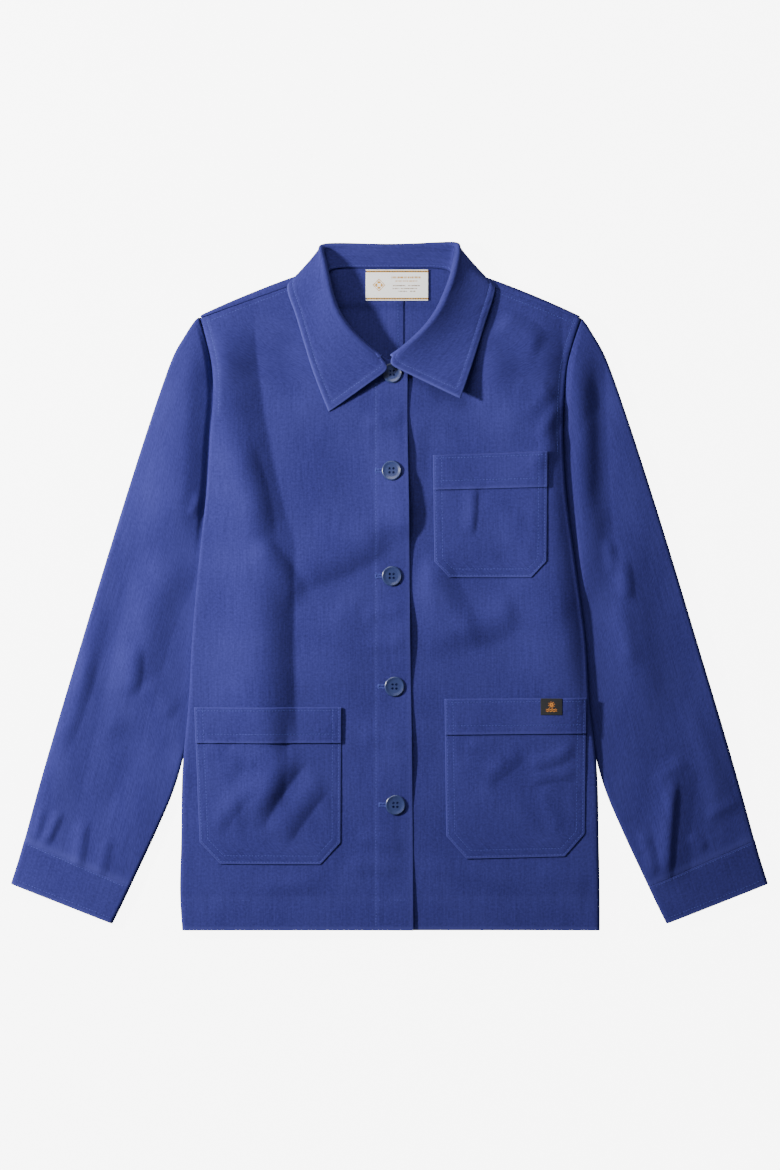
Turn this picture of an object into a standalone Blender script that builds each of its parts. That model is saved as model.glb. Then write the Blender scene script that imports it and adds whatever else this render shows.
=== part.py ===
"""Chore jacket of cotton twill, buttoned and laid flat on its back.

The origin is on the surface that the jacket lies on, under the middle of its
overall width and length: +X runs to the wearer's left, +Y to the collar and
+Z up through the layers. The sides of the body are folded in over and under
the sleeves, as a jacket lies with its arms down: from the surface up come the
back, its side turned in, the sleeve, the turned-in side of the front and the
front itself. Every piece of cloth is a grid of points in the middle of its
wall, worked out from tables and heights in millimetres.
"""

import math

import bmesh
import bpy
import numpy as np
from mathutils import Matrix, Vector

MM = 0.001

# Walls and the gaps between them, in millimetres
CLOTH = 1.2            # twill with its turned edges
POCKET_CLOTH = 1.0
COLLAR_CLOTH = 2.0     # two plies and an interlining
CUFF_CLOTH = 1.4
LABEL_CLOTH = 0.8
SEAM = 0.3             # between pieces that are sewn together
REST = 0.4             # between layers that lie on each other

# Heights of the middles of the walls above the surface
FLOOR = CLOTH / 2
LAYER = CLOTH + REST
BACK_TURN = FLOOR + LAYER            # the back's side, turned in
SLEEVE_LOW = BACK_TURN + LAYER       # the sleeve where it is tucked in
SLEEVE_HIGH = SLEEVE_LOW + 3.0
FRONT_TURN = SLEEVE_HIGH + LAYER     # the front's side, turned in
SEAM_TURN = BACK_TURN + LAYER        # the same at the side seam
UNDER_FRONT = 7.6                    # left front at the middle of the chest
OVER_FRONT = UNDER_FRONT + CLOTH + REST
NECK_LIFT = 2.9                      # back panel over the back of the collar

RIGHT, LEFT = -1, 1
SIDES = {RIGHT: "right", LEFT: "left"}


def table(names, *rows):
    """The columns of a small table, by name."""
    return dict(zip(names.split(), np.array(rows, float).T))


# Folded side edge of the body, hem to shoulder: distance out from the middle
EDGE = table(
    "y right left",
    (-344.4, 207.5, 210.5),
    (-315, 209.5, 210.5),
    (-255, 208.5, 209.5),
    (-183, 207.0, 207.5),
    (-118, 201.0, 200.0),
    (-55, 197.5, 196.0),
    (25, 190.5, 185.5),
    (100, 182.5, 176.0),
    (148, 179.5, 173.5),
    (195, 176.0, 175.0),
    (220, 177.5, 177.5),
    (245, 183.0, 184.0),
    (268.5, 190.0, 192.0),
)

# How far the side is turned in: to the side seam up to the underarm, then to
# the armhole seam, and a narrow turning where that seam lies at the edge
TURN = table(
    "y depth",
    (-344.4, 9),
    (-183, 38),
    (0, 54),
    (78, 63),
    (92, 50),
    (106, 37),
    (128, 21),
    (163, 8),
    (185, 5),
    (268.5, 5),
)

# Height of the front at its side edge
SIDE_HEIGHT = table(
    "y z",
    (-344.4, 9.4),
    (-183, 11.4),
    (0, 11.6),
    (100, 11.2),
    (150, 10.8),
    (195, 10.4),
    (268.5, 10.0),
)
SIDE_REACH = 75        # how far in from the edge that height fades
SHOULDER_RISE = 1.4
FRONT_ROLL = 3.2       # how far in the front starts to turn under
BACK_ROLL = 1.0
STEP_RUN = 12          # length over which the turned-in side steps off the sleeve

# Rows of a front, hem to shoulder seam: the inner edge of the lapping right
# front and of the left front under it, both measured out from the middle,
# and the place of the same row on the side edge
FRONT_ROWS = table(
    "inner_y over under side_y",
    (-344.4, -23.5, -13.5, -344.4),
    (-250, -23.0, -13.5, -250),
    (-150, -22.0, -13.5, -150),
    (-50, -20.3, -13.5, -50),
    (40, -19.6, -13.5, 40),
    (84, -19.2, -13.5, 78),
    (128, -18.2, -13.5, 118),
    (175, -17.6, -13.5, 160),
    (214.5, -17.9, -13.5, 195),
    (229.5, 7.5, 11.5, 214),
    (250.5, 39.5, 42.0, 233),
    (280.5, 60.0, 61.5, 250),
    (310.6, 66.8, 67.6, 266.2),
)

# Rows of a back, hem to the level where the armhole turns up to the shoulder
BACK_ROWS = (-344.4, -250, -150, -70, 0, 45, 78, 104, 132, 164, 195)
BACK_RISE = (0.2, 0.42, 0.66, 0.735, 0.87, 1.0)   # from there to the neck and shoulder
NECK_HALF = 69         # half of the back neck
NECK_Y = 317.5
SHOULDER_TIP = (190.5, 269.0)
SHOULDER_NECK = (69.0, 317.4)
SHOULDER_BOW = 2.3     # how far its edge bows out in the middle
SHOULDER_SEAT = 268.0  # level of the body's edge at the tip
SHOULDER_ROLL = (5.2, 1.9)   # how far in the cloth turns over it, at the neck and the tip
SHOULDER_SEAM = (6.7, 2.2)   # how far its seam lies forward of the line between them

# Sleeve from the armhole to the cuff: its outer and inner folded edges
SLEEVE = table(
    "outer_x outer_y inner_x inner_y",
    (186.5, 267.4, 139, 88),
    (192.8, 266.8, 140, 84),
    (204.0, 250.5, 142, 77),
    (218.0, 224.5, 145.5, 65),
    (239.0, 165.5, 152, 38),
    (263.5, 90.0, 163, -5),
    (286.5, 15.5, 179, -68),
    (309.0, -59.5, 199, -143),
    (331.5, -134.5, 214, -199),
    (349.0, -194.5, 232, -243),
    (365.5, -254.5, 259, -301),
)
ARMHOLE_BOW = table(    # how far ring 0 bows from its chord, outer to inner
    "part bow",
    (0.0, 0.0),
    (0.25, -4.0),
    (0.5, -13.0),
    (0.75, -14.0),
    (0.9, -7.0),
    (1.0, 0.0),
)
CUFF = table(
    "outer_x outer_y inner_x inner_y",
    (365.9, -255.0, 259.3, -301.6),
    (372.0, -276.0, 268.0, -320.0),
    (379.0, -297.8, 277.0, -338.0),
)
SLEEVE_FULL = 9.6      # middle of the upper wall where the sleeve lies free
CUFF_FULL = 8.0
TUCK_RUN = 46          # length over which the sleeve comes down to the surface
FULL_RUN = 48          # and over which it fills out
TUBE_ROLL = 3.0        # how far in the cloth starts to turn at a folded edge
CROWN_DROP = 0.35      # share of that fullness lost towards the folded edges

# Folds: a ridge from its upper end to its lower one, bowed towards +X in the
# middle, with a width on its -X side and on its +X side. A hollow has a height
# below zero. The foot is the share of the +X side that ends sharply.
FOLD_NAMES = "x0 y0 x1 y1 bow height minus plus foot"
RIGHT_FRONT_FOLDS = table(
    FOLD_NAMES,
    (-172, 266, -128, 26, -8, 10.5, 32, 23, 0.8),
    (-128, 46, -126, -148, -2, 10.6, 36, 21, 1),
    (-122, -116, -127, -232, 2, 3.2, 26, 20, 0.5),
    (18, 112, 18, 50, 0, 2.6, 34, 60, 0),
)
LEFT_FRONT_FOLDS = table(
    FOLD_NAMES,
    (150, 266, 184, -150, -6, 7.0, 40, 14, 1),
    (84, 262, 126, 140, 8, 3.6, 26, 24, 0),
)
RIGHT_SLEEVE_FOLDS = table(
    FOLD_NAMES,
    (-200, 252, -210, 46, -2, 8.4, 40, 20, 0.4),
    (-284, 60, -352, -250, 3, 4.2, 18, 20, 0.6),
    (-214, 30, -262, -110, -6, 4.2, 20, 18, 0.4),
    (-236, -110, -290, -240, 4, -2.0, 18, 18, 0),
)
LEFT_SLEEVE_FOLDS = table(
    FOLD_NAMES,
    (208, 240, 224, -20, 0, -3.0, 14, 24, 0),
    (232, 60, 262, -130, -6, 3.6, 20, 20, 0),
    (284, -180, 276, -296, -3, 3.6, 14, 16, 0.6),
    (298, 40, 346, -180, 4, 2.8, 20, 22, 0),
)
FOOT_REACH = 1.6       # how far that foot lies, in widths

# Collar, from the right front round the neck to the left front: the seam, the
# centre of the roll along the fold, the outer edge, the roll's radius, the
# lean of the fold (0 laid back, 90 upright, 180 laid in over the front), the
# compass angle that points away from the neck, and how far the leaf dips
COLLAR = table(
    "seam_x seam_y seam_z fold_x fold_y fold_z edge_x edge_y edge_z roll lean away dip",
    (-13.5, 227.5, 11.9, -10.0, 230.0, 16.8, -63.0, 178.0, 13.2, 2.2, 180, 222, 0.6),
    (-27.0, 236.0, 11.9, -23.5, 238.5, 18.6, -70.0, 196.5, 14.2, 2.8, 180, 218, 1.2),
    (-43.5, 252.5, 12.0, -39.5, 255.0, 20.8, -78.0, 219.5, 15.2, 3.2, 178, 212, 1.6),
    (-56.0, 270.0, 12.3, -51.5, 272.5, 21.6, -86.5, 247.0, 15.6, 3.5, 172, 206, 1.8),
    (-62.5, 288.0, 12.6, -58.0, 290.0, 21.8, -94.0, 272.0, 15.6, 3.5, 162, 196, 1.8),
    (-63.0, 302.0, 12.2, -62.5, 307.0, 20.6, -100.5, 292.0, 15.4, 3.3, 146, 182, 1.2),
    (-63.2, 309.5, 10.0, -66.0, 323.0, 16.8, -106.3, 308.4, 10.2, 3.0, 118, 164, 0.6),
    (-61.5, 314.5, 7.2, -68.0, 334.5, 10.6, -104.6, 313.8, 4.6, 2.6, 78, 146, 0),
    (-56.0, 317.6, 5.4, -64.8, 339.0, 5.6, -92.0, 313.5, 1.7, 2.2, 40, 122, 0),
    (-42.0, 319.0, 4.8, -48.0, 340.2, 3.8, -66.0, 300.0, 1.05, 2.0, 16, 104, 0),
    (-22.0, 319.0, 4.3, -24.0, 339.6, 3.4, -30.0, 294.0, 1.05, 2.0, 4, 94, 0),
    (0.0, 319.0, 4.2, 0.0, 339.2, 3.3, 0.0, 293.0, 1.05, 2.0, 0, 90, 0),
    (22.0, 319.0, 4.3, 24.0, 339.8, 3.4, 30.0, 294.0, 1.05, 2.0, 4, 86, 0),
    (42.0, 319.0, 4.8, 48.0, 341.0, 3.8, 66.0, 300.0, 1.05, 2.0, 16, 76, 0),
    (56.0, 317.6, 5.4, 65.0, 341.0, 5.6, 93.0, 313.5, 1.7, 2.2, 40, 58, 0),
    (61.5, 314.5, 7.2, 68.4, 336.6, 10.6, 107.0, 312.5, 4.6, 2.6, 78, 34, 0),
    (63.6, 309.5, 9.8, 67.0, 324.0, 16.8, 108.5, 306.0, 10.0, 3.0, 118, 16, 1.0),
    (63.4, 302.0, 11.8, 63.5, 307.0, 20.6, 102.0, 290.0, 15.6, 3.3, 146, -2, 2.6),
    (62.5, 289.0, 12.0, 58.0, 291.0, 22.4, 95.0, 269.0, 17.6, 3.5, 162, -16, 4.4),
    (54.0, 270.5, 11.6, 49.5, 273.0, 22.8, 88.0, 246.0, 19.0, 3.5, 172, -26, 5.4),
    (41.0, 253.5, 11.2, 37.0, 256.0, 22.0, 80.5, 224.0, 20.4, 3.2, 178, -32, 5.6),
    (21.5, 237.0, 11.4, 18.0, 239.5, 19.4, 73.0, 204.0, 21.6, 2.8, 180, -38, 4.6),
    (0.0, 227.5, 11.9, -3.0, 230.0, 16.6, 66.5, 187.5, 22.4, 2.2, 180, -42, 3.0),
)
COLLAR_SECTIONS = 35
COLLAR_LEG, COLLAR_ARC, COLLAR_LEAF = 3, 4, 5
STAND_PULL = 0.8       # how straight the stand leaves its seam and meets the roll
LEAF_PULL = 0.9        # and the leaf at its edge
LEAF_BEND = 14         # length over which the leaf leaves the roll

# Pockets: corners of the open top, then of the bag above its cut corners
CHEST_POCKET = dict(
    side=LEFT,
    top=((44.0, 130.0), (157.0, 133.5)),
    foot=((45.5, 8.5), (156.0, 8.5)),
    cut=(14.5, 15.5),
    band=34.5,
)
LOWER_POCKET_RIGHT = dict(
    side=RIGHT,
    top=((-194.5, -122.0), (-48.7, -122.0)),
    foot=((-188.5, -278.0), (-49.5, -278.5)),
    cut=(19.5, 21.5),
    band=35.0,
)
LOWER_POCKET_LEFT = dict(
    side=LEFT,
    top=((55.5, -113.8), (196.0, -112.5)),
    foot=((57.5, -273.0), (194.5, -270.5)),
    cut=(19.5, 22.5),
    band=35.0,
)
POCKET_REST = 0.8      # room between a pocket and the front under it
POCKET_PUFF = 0.8      # how far its middle stands out
BAND_ROLL = 0.85       # radius of the turn at its top

# Buttons: centres down the front, and the turned shape
BUTTON_PLACES = ((2.7, 212.5), (2.3, 114.8), (2.3, 9.5), (5.0, -101.0), (6.0, -219.3))
BUTTON_RADIUS = 10.5
BUTTON_RIM = 1.9
BUTTON_THICK = 3.0
BUTTON_SINK = 0.9
BUTTON_HOLE = 0.95
BUTTON_HOLE_SPREAD = 2.0
BUTTON_SIDES = 16

LABEL_BOX = (-23.5, 38.5, 285.5, 316.0)      # x0 x1 y0 y1
TAG_BOX = (151.0, 172.0, -129.0, -112.8)

TWILL_BLUE = (0.035, 0.075, 0.36)
BUTTON_BLUE = (0.02, 0.045, 0.16)
LABEL_WHITE = (0.85, 0.84, 0.82)
TAG_BLACK = (0.02, 0.02, 0.025)


# ---------------------------------------------------------------- helpers

def ramp(value, start, end):
    """0 before start, 1 past end, eased between them."""
    t = np.clip((value - start) / (end - start), 0, 1)
    return t * t * (3 - 2 * t)


def along(keys, values, at):
    """Smooth curve through the values at the keys."""
    slopes = np.gradient(values, keys)
    at = np.clip(at, keys[0], keys[-1])
    i = np.clip(np.searchsorted(keys, at, side="right") - 1, 0, len(keys) - 2)
    gap = keys[i + 1] - keys[i]
    t = (at - keys[i]) / gap
    return (
        (1 + 2 * t) * (1 - t) ** 2 * values[i]
        + t * (1 - t) ** 2 * gap * slopes[i]
        + t * t * (3 - 2 * t) * values[i + 1]
        + t * t * (t - 1) * gap * slopes[i + 1]
    )


def folds(ridges, x, y):
    """Height that the folds of a table add at a place in plan."""
    total = np.zeros(np.broadcast(x, y).shape)
    for x0, y0, x1, y1, bow, height, minus, plus, foot in zip(*ridges.values()):
        length = math.hypot(x1 - x0, y1 - y0)
        dx, dy = (x1 - x0) / length, (y1 - y0) / length
        t = ((x - x0) * dx + (y - y0) * dy) / length
        run = np.clip(t, 0, 1)
        across = (y - y0) * dx - (x - x0) * dy - bow * 4 * run * (1 - run)
        away = np.abs(across) / np.where(across < 0, minus, plus)
        bell = np.exp(-(away ** 2))
        fall = np.cos(math.pi / 2 * np.clip(away / FOOT_REACH, 0, 1))
        ends = ramp(t, -0.1, 0.22) * ramp(1 - t, -0.1, 0.22)
        total += height * ends * (bell + np.where(across < 0, 0, foot) * (fall - bell))
    return total


# ---------------------------------------------------------------- the lay of the body

def edge_x(y, side):
    return along(EDGE["y"], EDGE[SIDES[side]], y)


def sleeve_inner_x(y):
    """Inner folded edge of the sleeve, at a level of the body."""
    return np.interp(-y, -SLEEVE["inner_y"], SLEEVE["inner_x"])


def front_height(x, y, side):
    """Middle of a front's wall: level at the chest, full at the side."""
    inward = np.maximum(edge_x(y, side) - side * x, 0)
    middle = OVER_FRONT if side == RIGHT else UNDER_FRONT
    full = along(SIDE_HEIGHT["y"], SIDE_HEIGHT["z"], y)
    ridges = RIGHT_FRONT_FOLDS if side == RIGHT else LEFT_FRONT_FOLDS
    z = middle + (full - middle) * np.exp(-((inward / SIDE_REACH) ** 2))
    return z + SHOULDER_RISE * ramp(y, 215, 290) + folds(ridges, x, y)


def front_turn_height(x, y, side):
    """The front's turned-in side: over the sleeve, then down to the seam."""
    past = side * x - sleeve_inner_x(y) + 2 * np.maximum(y - SLEEVE["inner_y"][0] + 15, 0)
    return SEAM_TURN + (FRONT_TURN - SEAM_TURN) * ramp(past, -STEP_RUN, 0)


def back_height(x, y, side):
    """The back on the surface, lifted by the collar that lies under it."""
    under = ramp(y, 275, 285) * (1 - ramp(np.abs(x), 114, 130))
    return FLOOR + NECK_LIFT * under


def back_turn_height(x, y, side):
    return np.full(np.broadcast(x, y).shape, BACK_TURN)


def panel(inner, outer, side, height, turn_height, roll, columns):
    """One half of a front or a back: rows of points from its inner edge to the
    folded side edge, round the fold and in again to its seam.

    inner and outer are plan points (out from the middle, up) for each row.
    """
    flat, arc, turn = columns
    way = outer - inner
    way = way / np.linalg.norm(way, axis=1, keepdims=True)
    start = outer - way * roll
    part = np.linspace(0, 1, flat + 1)[None, :, None]
    plan = inner[:, None] + (start - inner)[:, None] * part
    x, y = side * plan[..., 0], plan[..., 1]
    top = np.stack([x, y, height(x, y, side)], axis=-1)

    low = turn_height(side * start[:, 0], start[:, 1], side)
    high = top[:, -1, 2]
    angle = np.linspace(0, math.pi, arc + 1)[None, 1:]
    out = start[:, None] + way[:, None] * (roll * np.sin(angle))[..., None]
    z = ((high + low) / 2)[:, None] + ((high - low) / 2)[:, None] * np.cos(angle)
    bend = np.stack([side * out[..., 0], out[..., 1], z], axis=-1)

    depth = np.interp(outer[:, 1], TURN["y"], TURN["depth"]) - roll
    step = STEP_RUN * np.minimum(1, depth / 40)
    past = outer[:, 0] - sleeve_inner_x(outer[:, 1]) - roll
    step_start = np.clip(past, 0.3 * depth, depth - 1.05 * step)
    stops = [step_start * (i + 1) / turn for i in range(turn)]
    stops += [step_start + step / 2, step_start + step, depth]
    inward = np.stack(stops, axis=1)[..., None]
    plan = start[:, None] - way[:, None] * inward
    x, y = side * plan[..., 0], plan[..., 1]
    under = np.stack([x, y, turn_height(x, y, side)], axis=-1)
    return np.concatenate([top, bend, under], axis=1)


def front_points(side):
    """A front, hem to forward shoulder seam."""
    stations = np.arange(len(FRONT_ROWS["side_y"]), dtype=float)
    at = np.linspace(0, stations[-1], 2 * len(stations) - 1)
    inner_x = np.interp(at, stations, FRONT_ROWS["over" if side == RIGHT else "under"])
    inner_y = np.interp(at, stations, FRONT_ROWS["inner_y"])
    side_y = along(stations, FRONT_ROWS["side_y"], at)
    inner = np.stack([inner_x, inner_y], axis=1)
    outer = np.stack([edge_x(side_y, side) - FLOOR, side_y], axis=1)
    return panel(inner, outer, side, front_height, front_turn_height, FRONT_ROLL, (15, 4, 2))


def shoulder_line(part, up):
    """Edge of the shoulder in plan, from the neck to the tip, bowed upwards."""
    neck, tip = np.array(SHOULDER_NECK), np.array(SHOULDER_TIP)
    bow = SHOULDER_BOW * 4 * part * (1 - part)
    return neck + (tip - neck) * part[:, None] + up * bow[:, None]


def back_points(side):
    """A back, hem to neck and over the shoulder to the forward seam.

    Returns the points and a mask of the faces that exist.
    """
    flat, arc, turn = 9, 2, 1
    low_y = np.array(BACK_ROWS, float)
    inner = np.stack([np.full(len(low_y), SEAM / 2), low_y], axis=1)
    outer = np.stack([edge_x(low_y, side) - FLOOR, low_y], axis=1)
    low = panel(inner, outer, side, back_height, back_turn_height, BACK_ROLL, (flat, arc, turn))

    # Above that level the rows turn from straight ones to the shoulder's line
    neck_columns = 3
    part = np.linspace(0, 1, flat - neck_columns + 1)
    slope = np.array(SHOULDER_TIP) - np.array(SHOULDER_NECK)
    up = np.array([-slope[1], slope[0]]) / np.linalg.norm(slope)
    shoulder = shoulder_line(part, up)
    shoulder[-1] = (edge_x(np.array(SHOULDER_SEAT), side) - FLOOR - BACK_ROLL, SHOULDER_TIP[1])
    share = np.concatenate([np.zeros(neck_columns), part])
    roll, seam = (np.interp(share, (0, 1), ends)[:, None] for ends in (SHOULDER_ROLL, SHOULDER_SEAM))
    seam = seam + (SHOULDER_BOW * 4 * share * (1 - share))[:, None]
    neck_x = np.linspace(SEAM / 2, NECK_HALF, neck_columns + 1)[:-1]
    neck = np.stack([neck_x, np.full(neck_columns, NECK_Y)], axis=1)
    start = np.concatenate([neck, shoulder - up * roll[neck_columns:]])
    rise = np.array(BACK_RISE)[:, None, None]
    base = low[-1, : flat + 1, :2] * (side, 1)
    plan = base[None] + (start - base)[None] * rise
    rim = edge_x(plan[:, -1, 1], side) - FLOOR - BACK_ROLL
    share = np.linspace(0, 1, flat + 1) ** 3
    plan[..., 0] += (rim - plan[:, -1, 0])[:, None] * share
    x, y = side * plan[..., 0], plan[..., 1]
    top = np.stack([x, y, back_height(x, y, side)], axis=-1)

    # The narrow turning beside the armhole seam
    tail = low[-1:, flat + 1 :] - low[-1:, flat : flat + 1]
    turning = top[:, -1:] + tail
    upper = np.concatenate([top, turning], axis=1)

    # Over the shoulder
    begin = top[-1]
    high = front_height(begin[:, 0], begin[:, 1], side)
    angle = np.linspace(0, math.pi, 7)[1:, None]
    out = up * (side, 1)
    plan = begin[None, :, :2] + out * roll * np.sin(angle)[..., None]
    z = (begin[:, 2] + high) / 2 - (high - begin[:, 2]) / 2 * np.cos(angle)
    bend = np.concatenate([plan, z[..., None]], axis=-1)
    plan = begin[:, :2] - out * (seam - roll)
    last = np.concatenate([plan, high[:, None]], axis=1)[None]
    over = np.concatenate([bend, last])
    blank = np.repeat(over[:, -1:], arc + turn + 3, axis=1)
    over = np.concatenate([over, blank], axis=1)

    points = np.concatenate([low, upper, over])
    keep = np.ones((points.shape[0] - 1, points.shape[1] - 1), bool)
    first_over = len(low) + len(upper) - 1
    keep[first_over:, flat:] = False
    keep[first_over:, :neck_columns] = False
    keep[first_over - 1 :, flat:] = False
    return points, keep


# ---------------------------------------------------------------- sleeves and cuffs

def sleeve_top(x, y, side, across):
    """Middle of a sleeve's upper wall: thin where tucked in, then full."""
    past = side * x - edge_x(y, side)
    ridges = RIGHT_SLEEVE_FOLDS if side == RIGHT else LEFT_SLEEVE_FOLDS
    crown = 1 - CROWN_DROP * np.abs(2 * across - 1) ** 3
    full = (SLEEVE_FULL - SLEEVE_HIGH) * ramp(past, 0, FULL_RUN) * crown
    return SLEEVE_HIGH + full + folds(ridges, x, y) * ramp(past, 2, 30)


def sleeve_low(x, y, side):
    """Middle of its lower wall: on the turned-in back, then on the surface."""
    past = side * x - edge_x(y, side)
    return FLOOR + (SLEEVE_LOW - FLOOR) * (1 - ramp(past, 3, TUCK_RUN))


def tube(outer, inner, side, bows, top_height, low_height, wall):
    """Rings of a flattened tube between its two folded edges."""
    way = inner - outer
    span = np.linalg.norm(way, axis=1, keepdims=True)
    way = way / span
    normal = np.stack([-way[:, 1], way[:, 0]], axis=1)
    begin = outer + way * (TUBE_ROLL + wall / 2)
    reach = span - 2 * TUBE_ROLL - wall

    def at(part):
        """Plan points of each ring at parts of its width."""
        plan = begin[:, None] + (way * reach)[:, None] * part[None, :, None]
        bow = np.interp(part, ARMHOLE_BOW["part"], ARMHOLE_BOW["bow"])
        return plan + normal[:, None] * (bows[:, None] * bow[None, :])[..., None]

    part = np.linspace(0, 1, 12)
    plan = at(part)
    x, y = side * plan[..., 0], plan[..., 1]
    top = np.stack([x, y, top_height(x, y, side, part[None, :])], axis=-1)
    part = np.linspace(1, 0, 9)
    plan = at(part)
    x, y = side * plan[..., 0], plan[..., 1]
    low = np.stack([x, y, low_height(x, y, side)], axis=-1)

    def turn(start, end, direction):
        angle = np.linspace(0, math.pi, 5)[None, 1:-1]
        mid = (start + end) / 2
        half = (start[:, 2] - end[:, 2])[:, None] / 2
        push = direction * (side, 1)
        plan = mid[:, None, :2] + push[:, None] * (TUBE_ROLL * np.sin(angle))[..., None]
        z = mid[:, 2][:, None] + half * np.cos(angle)
        return np.concatenate([plan, z[..., None]], axis=-1)

    inner_turn = turn(top[:, -1], low[:, 0], way)
    outer_turn = turn(low[:, -1], top[:, 0], -way)
    return np.concatenate([top, inner_turn, low, outer_turn, top[:, :1]], axis=1)


def sleeve_points(side):
    stations = np.arange(len(SLEEVE["outer_x"]), dtype=float)
    at = np.concatenate([np.arange(0, 4, 0.5), np.linspace(4, stations[-1], 10)])
    outer = np.stack([along(stations, SLEEVE[c], at) for c in ("outer_x", "outer_y")], axis=1)
    inner = np.stack([along(stations, SLEEVE[c], at) for c in ("inner_x", "inner_y")], axis=1)
    bows = 1 - ramp(at, 0, 4.5)
    return tube(outer, inner, side, bows, sleeve_top, sleeve_low, CLOTH)


def cuff_points(side):
    outer = np.stack([CUFF["outer_x"], CUFF["outer_y"]], axis=1)
    inner = np.stack([CUFF["inner_x"], CUFF["inner_y"]], axis=1)

    def top(x, y, side, across):
        return sleeve_top(x, y, side, across) + (CUFF_FULL - SLEEVE_FULL)

    def low(x, y, side):
        return np.full(x.shape, CUFF_CLOTH / 2)

    return tube(outer, inner, side, np.zeros(len(outer)), top, low, CUFF_CLOTH)


# ---------------------------------------------------------------- collar

def hermite(start, end, leave, arrive, parts):
    """Points of a cubic from start to end with the given end directions."""
    t = parts[None, :, None]
    return (
        (1 + 2 * t) * (1 - t) ** 2 * start[:, None]
        + t * (1 - t) ** 2 * leave[:, None]
        + t * t * (3 - 2 * t) * end[:, None]
        + t * t * (t - 1) * arrive[:, None]
    )


def collar_points():
    """Sections of the collar: stand up from the seam, round the roll and out
    along the leaf to its edge."""
    stations = np.arange(len(COLLAR["roll"]), dtype=float)
    at = np.linspace(0, stations[-1], COLLAR_SECTIONS)
    value = {name: along(stations, COLLAR[name], at) for name in COLLAR}
    seam, fold, edge = (
        np.stack([value[f"{place}_{axis}"] for axis in "xyz"], axis=1)
        for place in ("seam", "fold", "edge")
    )
    lean, away = np.radians(value["lean"]), np.radians(value["away"])
    out = np.stack([np.cos(away), np.sin(away), 0 * away], axis=1)
    up = np.array([0, 0, 1.0])
    tip = out * np.cos(lean)[:, None] + up * np.sin(lean)[:, None]
    leaf = out * np.sin(lean)[:, None] - up * np.cos(lean)[:, None]
    roll = value["roll"][:, None]

    below, above = fold - leaf * roll, fold + leaf * roll
    rise = np.linalg.norm(below - seam, axis=1, keepdims=True)
    fall = np.linalg.norm(edge - above, axis=1, keepdims=True)
    stand = hermite(seam, below, (below - seam) * STAND_PULL, tip * rise * STAND_PULL,
                    np.linspace(0, 1, COLLAR_LEG + 1))
    angle = np.linspace(0, math.pi, COLLAR_ARC + 1)[None, 1:-1, None]
    arc = fold[:, None] - (leaf * roll)[:, None] * np.cos(angle) \
        + (tip * roll)[:, None] * np.sin(angle)
    leave = -tip * np.minimum(fall / 2, LEAF_BEND)
    part = np.linspace(0, 1, COLLAR_LEAF + 1)
    fall_over = hermite(above, edge, leave, (edge - above) * LEAF_PULL, part)
    fall_over[..., 2] -= value["dip"][:, None] * np.sin(np.pi * part) ** 1.5
    return np.concatenate([stand, arc, fall_over], axis=1)


# ---------------------------------------------------------------- what lies on a panel

def moved_out(x, y, side, distance):
    """Points of a front at places in plan, moved out along its normal."""
    step = 0.5
    z = front_height(x, y, side)
    across = (front_height(x + step, y, side) - z) / step
    up = (front_height(x, y + step, side) - z) / step
    length = np.sqrt(across ** 2 + up ** 2 + 1)
    shift = distance / length
    return np.stack([x - across * shift, y - up * shift, z + shift], axis=-1)


def pocket_points(shape):
    """A patch pocket: the bag from its foot up, over its top edge and down
    again as the band that is turned to the outside."""
    side = shape["side"]
    top, foot = np.array(shape["top"]), np.array(shape["foot"])
    cut_x, cut_y = shape["cut"]
    height = np.linalg.norm(top - foot, axis=1).mean()
    columns = np.linspace(0, 1, 11)
    bag = np.concatenate([
        np.linspace(0, cut_y, 3)[:-1],
        np.linspace(cut_y, height - shape["band"], 6)[:-1],
        np.linspace(height - shape["band"], height - BAND_ROLL, 3),
    ])

    def plan(up):
        part = up[:, None] / height
        left = foot[0] + (top - foot)[0] * part
        right = foot[1] + (top - foot)[1] * part
        inset = cut_x * np.maximum(1 - up / cut_y, 0)
        left[:, 0] += inset
        right[:, 0] -= inset
        return left[:, None] + (right - left)[:, None] * columns[None, :, None]

    def lifted(up, level, extra):
        """Rows at these lengths up the pocket, puffed as at the given levels."""
        x, y = np.moveaxis(plan(up), -1, 0)
        puff = np.sin(np.pi * level / height)[:, None] * np.sin(np.pi * columns)
        return moved_out(x, y, side, rest + POCKET_PUFF * puff + extra)

    rest = CLOTH / 2 + POCKET_REST + POCKET_CLOTH / 2
    angle = np.linspace(0, math.pi, 5)[1:-1]
    fold = np.full(len(angle), height - BAND_ROLL)
    around = BAND_ROLL * (1 - np.cos(angle))[:, None]
    band = np.linspace(height - BAND_ROLL, height - shape["band"], 3)
    return np.concatenate([
        lifted(bag, bag, 0),
        lifted(fold + BAND_ROLL * np.sin(angle), fold, around),
        lifted(band, band, 2 * BAND_ROLL),
    ])


def patch(box, columns, rows):
    x0, x1, y0, y1 = box
    x, y = np.meshgrid(np.linspace(x0, x1, columns), np.linspace(y0, y1, rows))
    return x, y


def label_points():
    x, y = patch(LABEL_BOX, 6, 4)
    z = back_height(x, y, LEFT) + CLOTH / 2 + SEAM + LABEL_CLOTH / 2
    return np.stack([x, y, z], axis=-1)


def tag_points():
    x, y = patch(TAG_BOX, 4, 4)
    band_face = CLOTH / 2 + POCKET_REST + POCKET_CLOTH + 2 * BAND_ROLL + POCKET_PUFF * 0.75
    return moved_out(x, y, LEFT, band_face + SEAM + LABEL_CLOTH / 2)


# ---------------------------------------------------------------- objects

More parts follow.
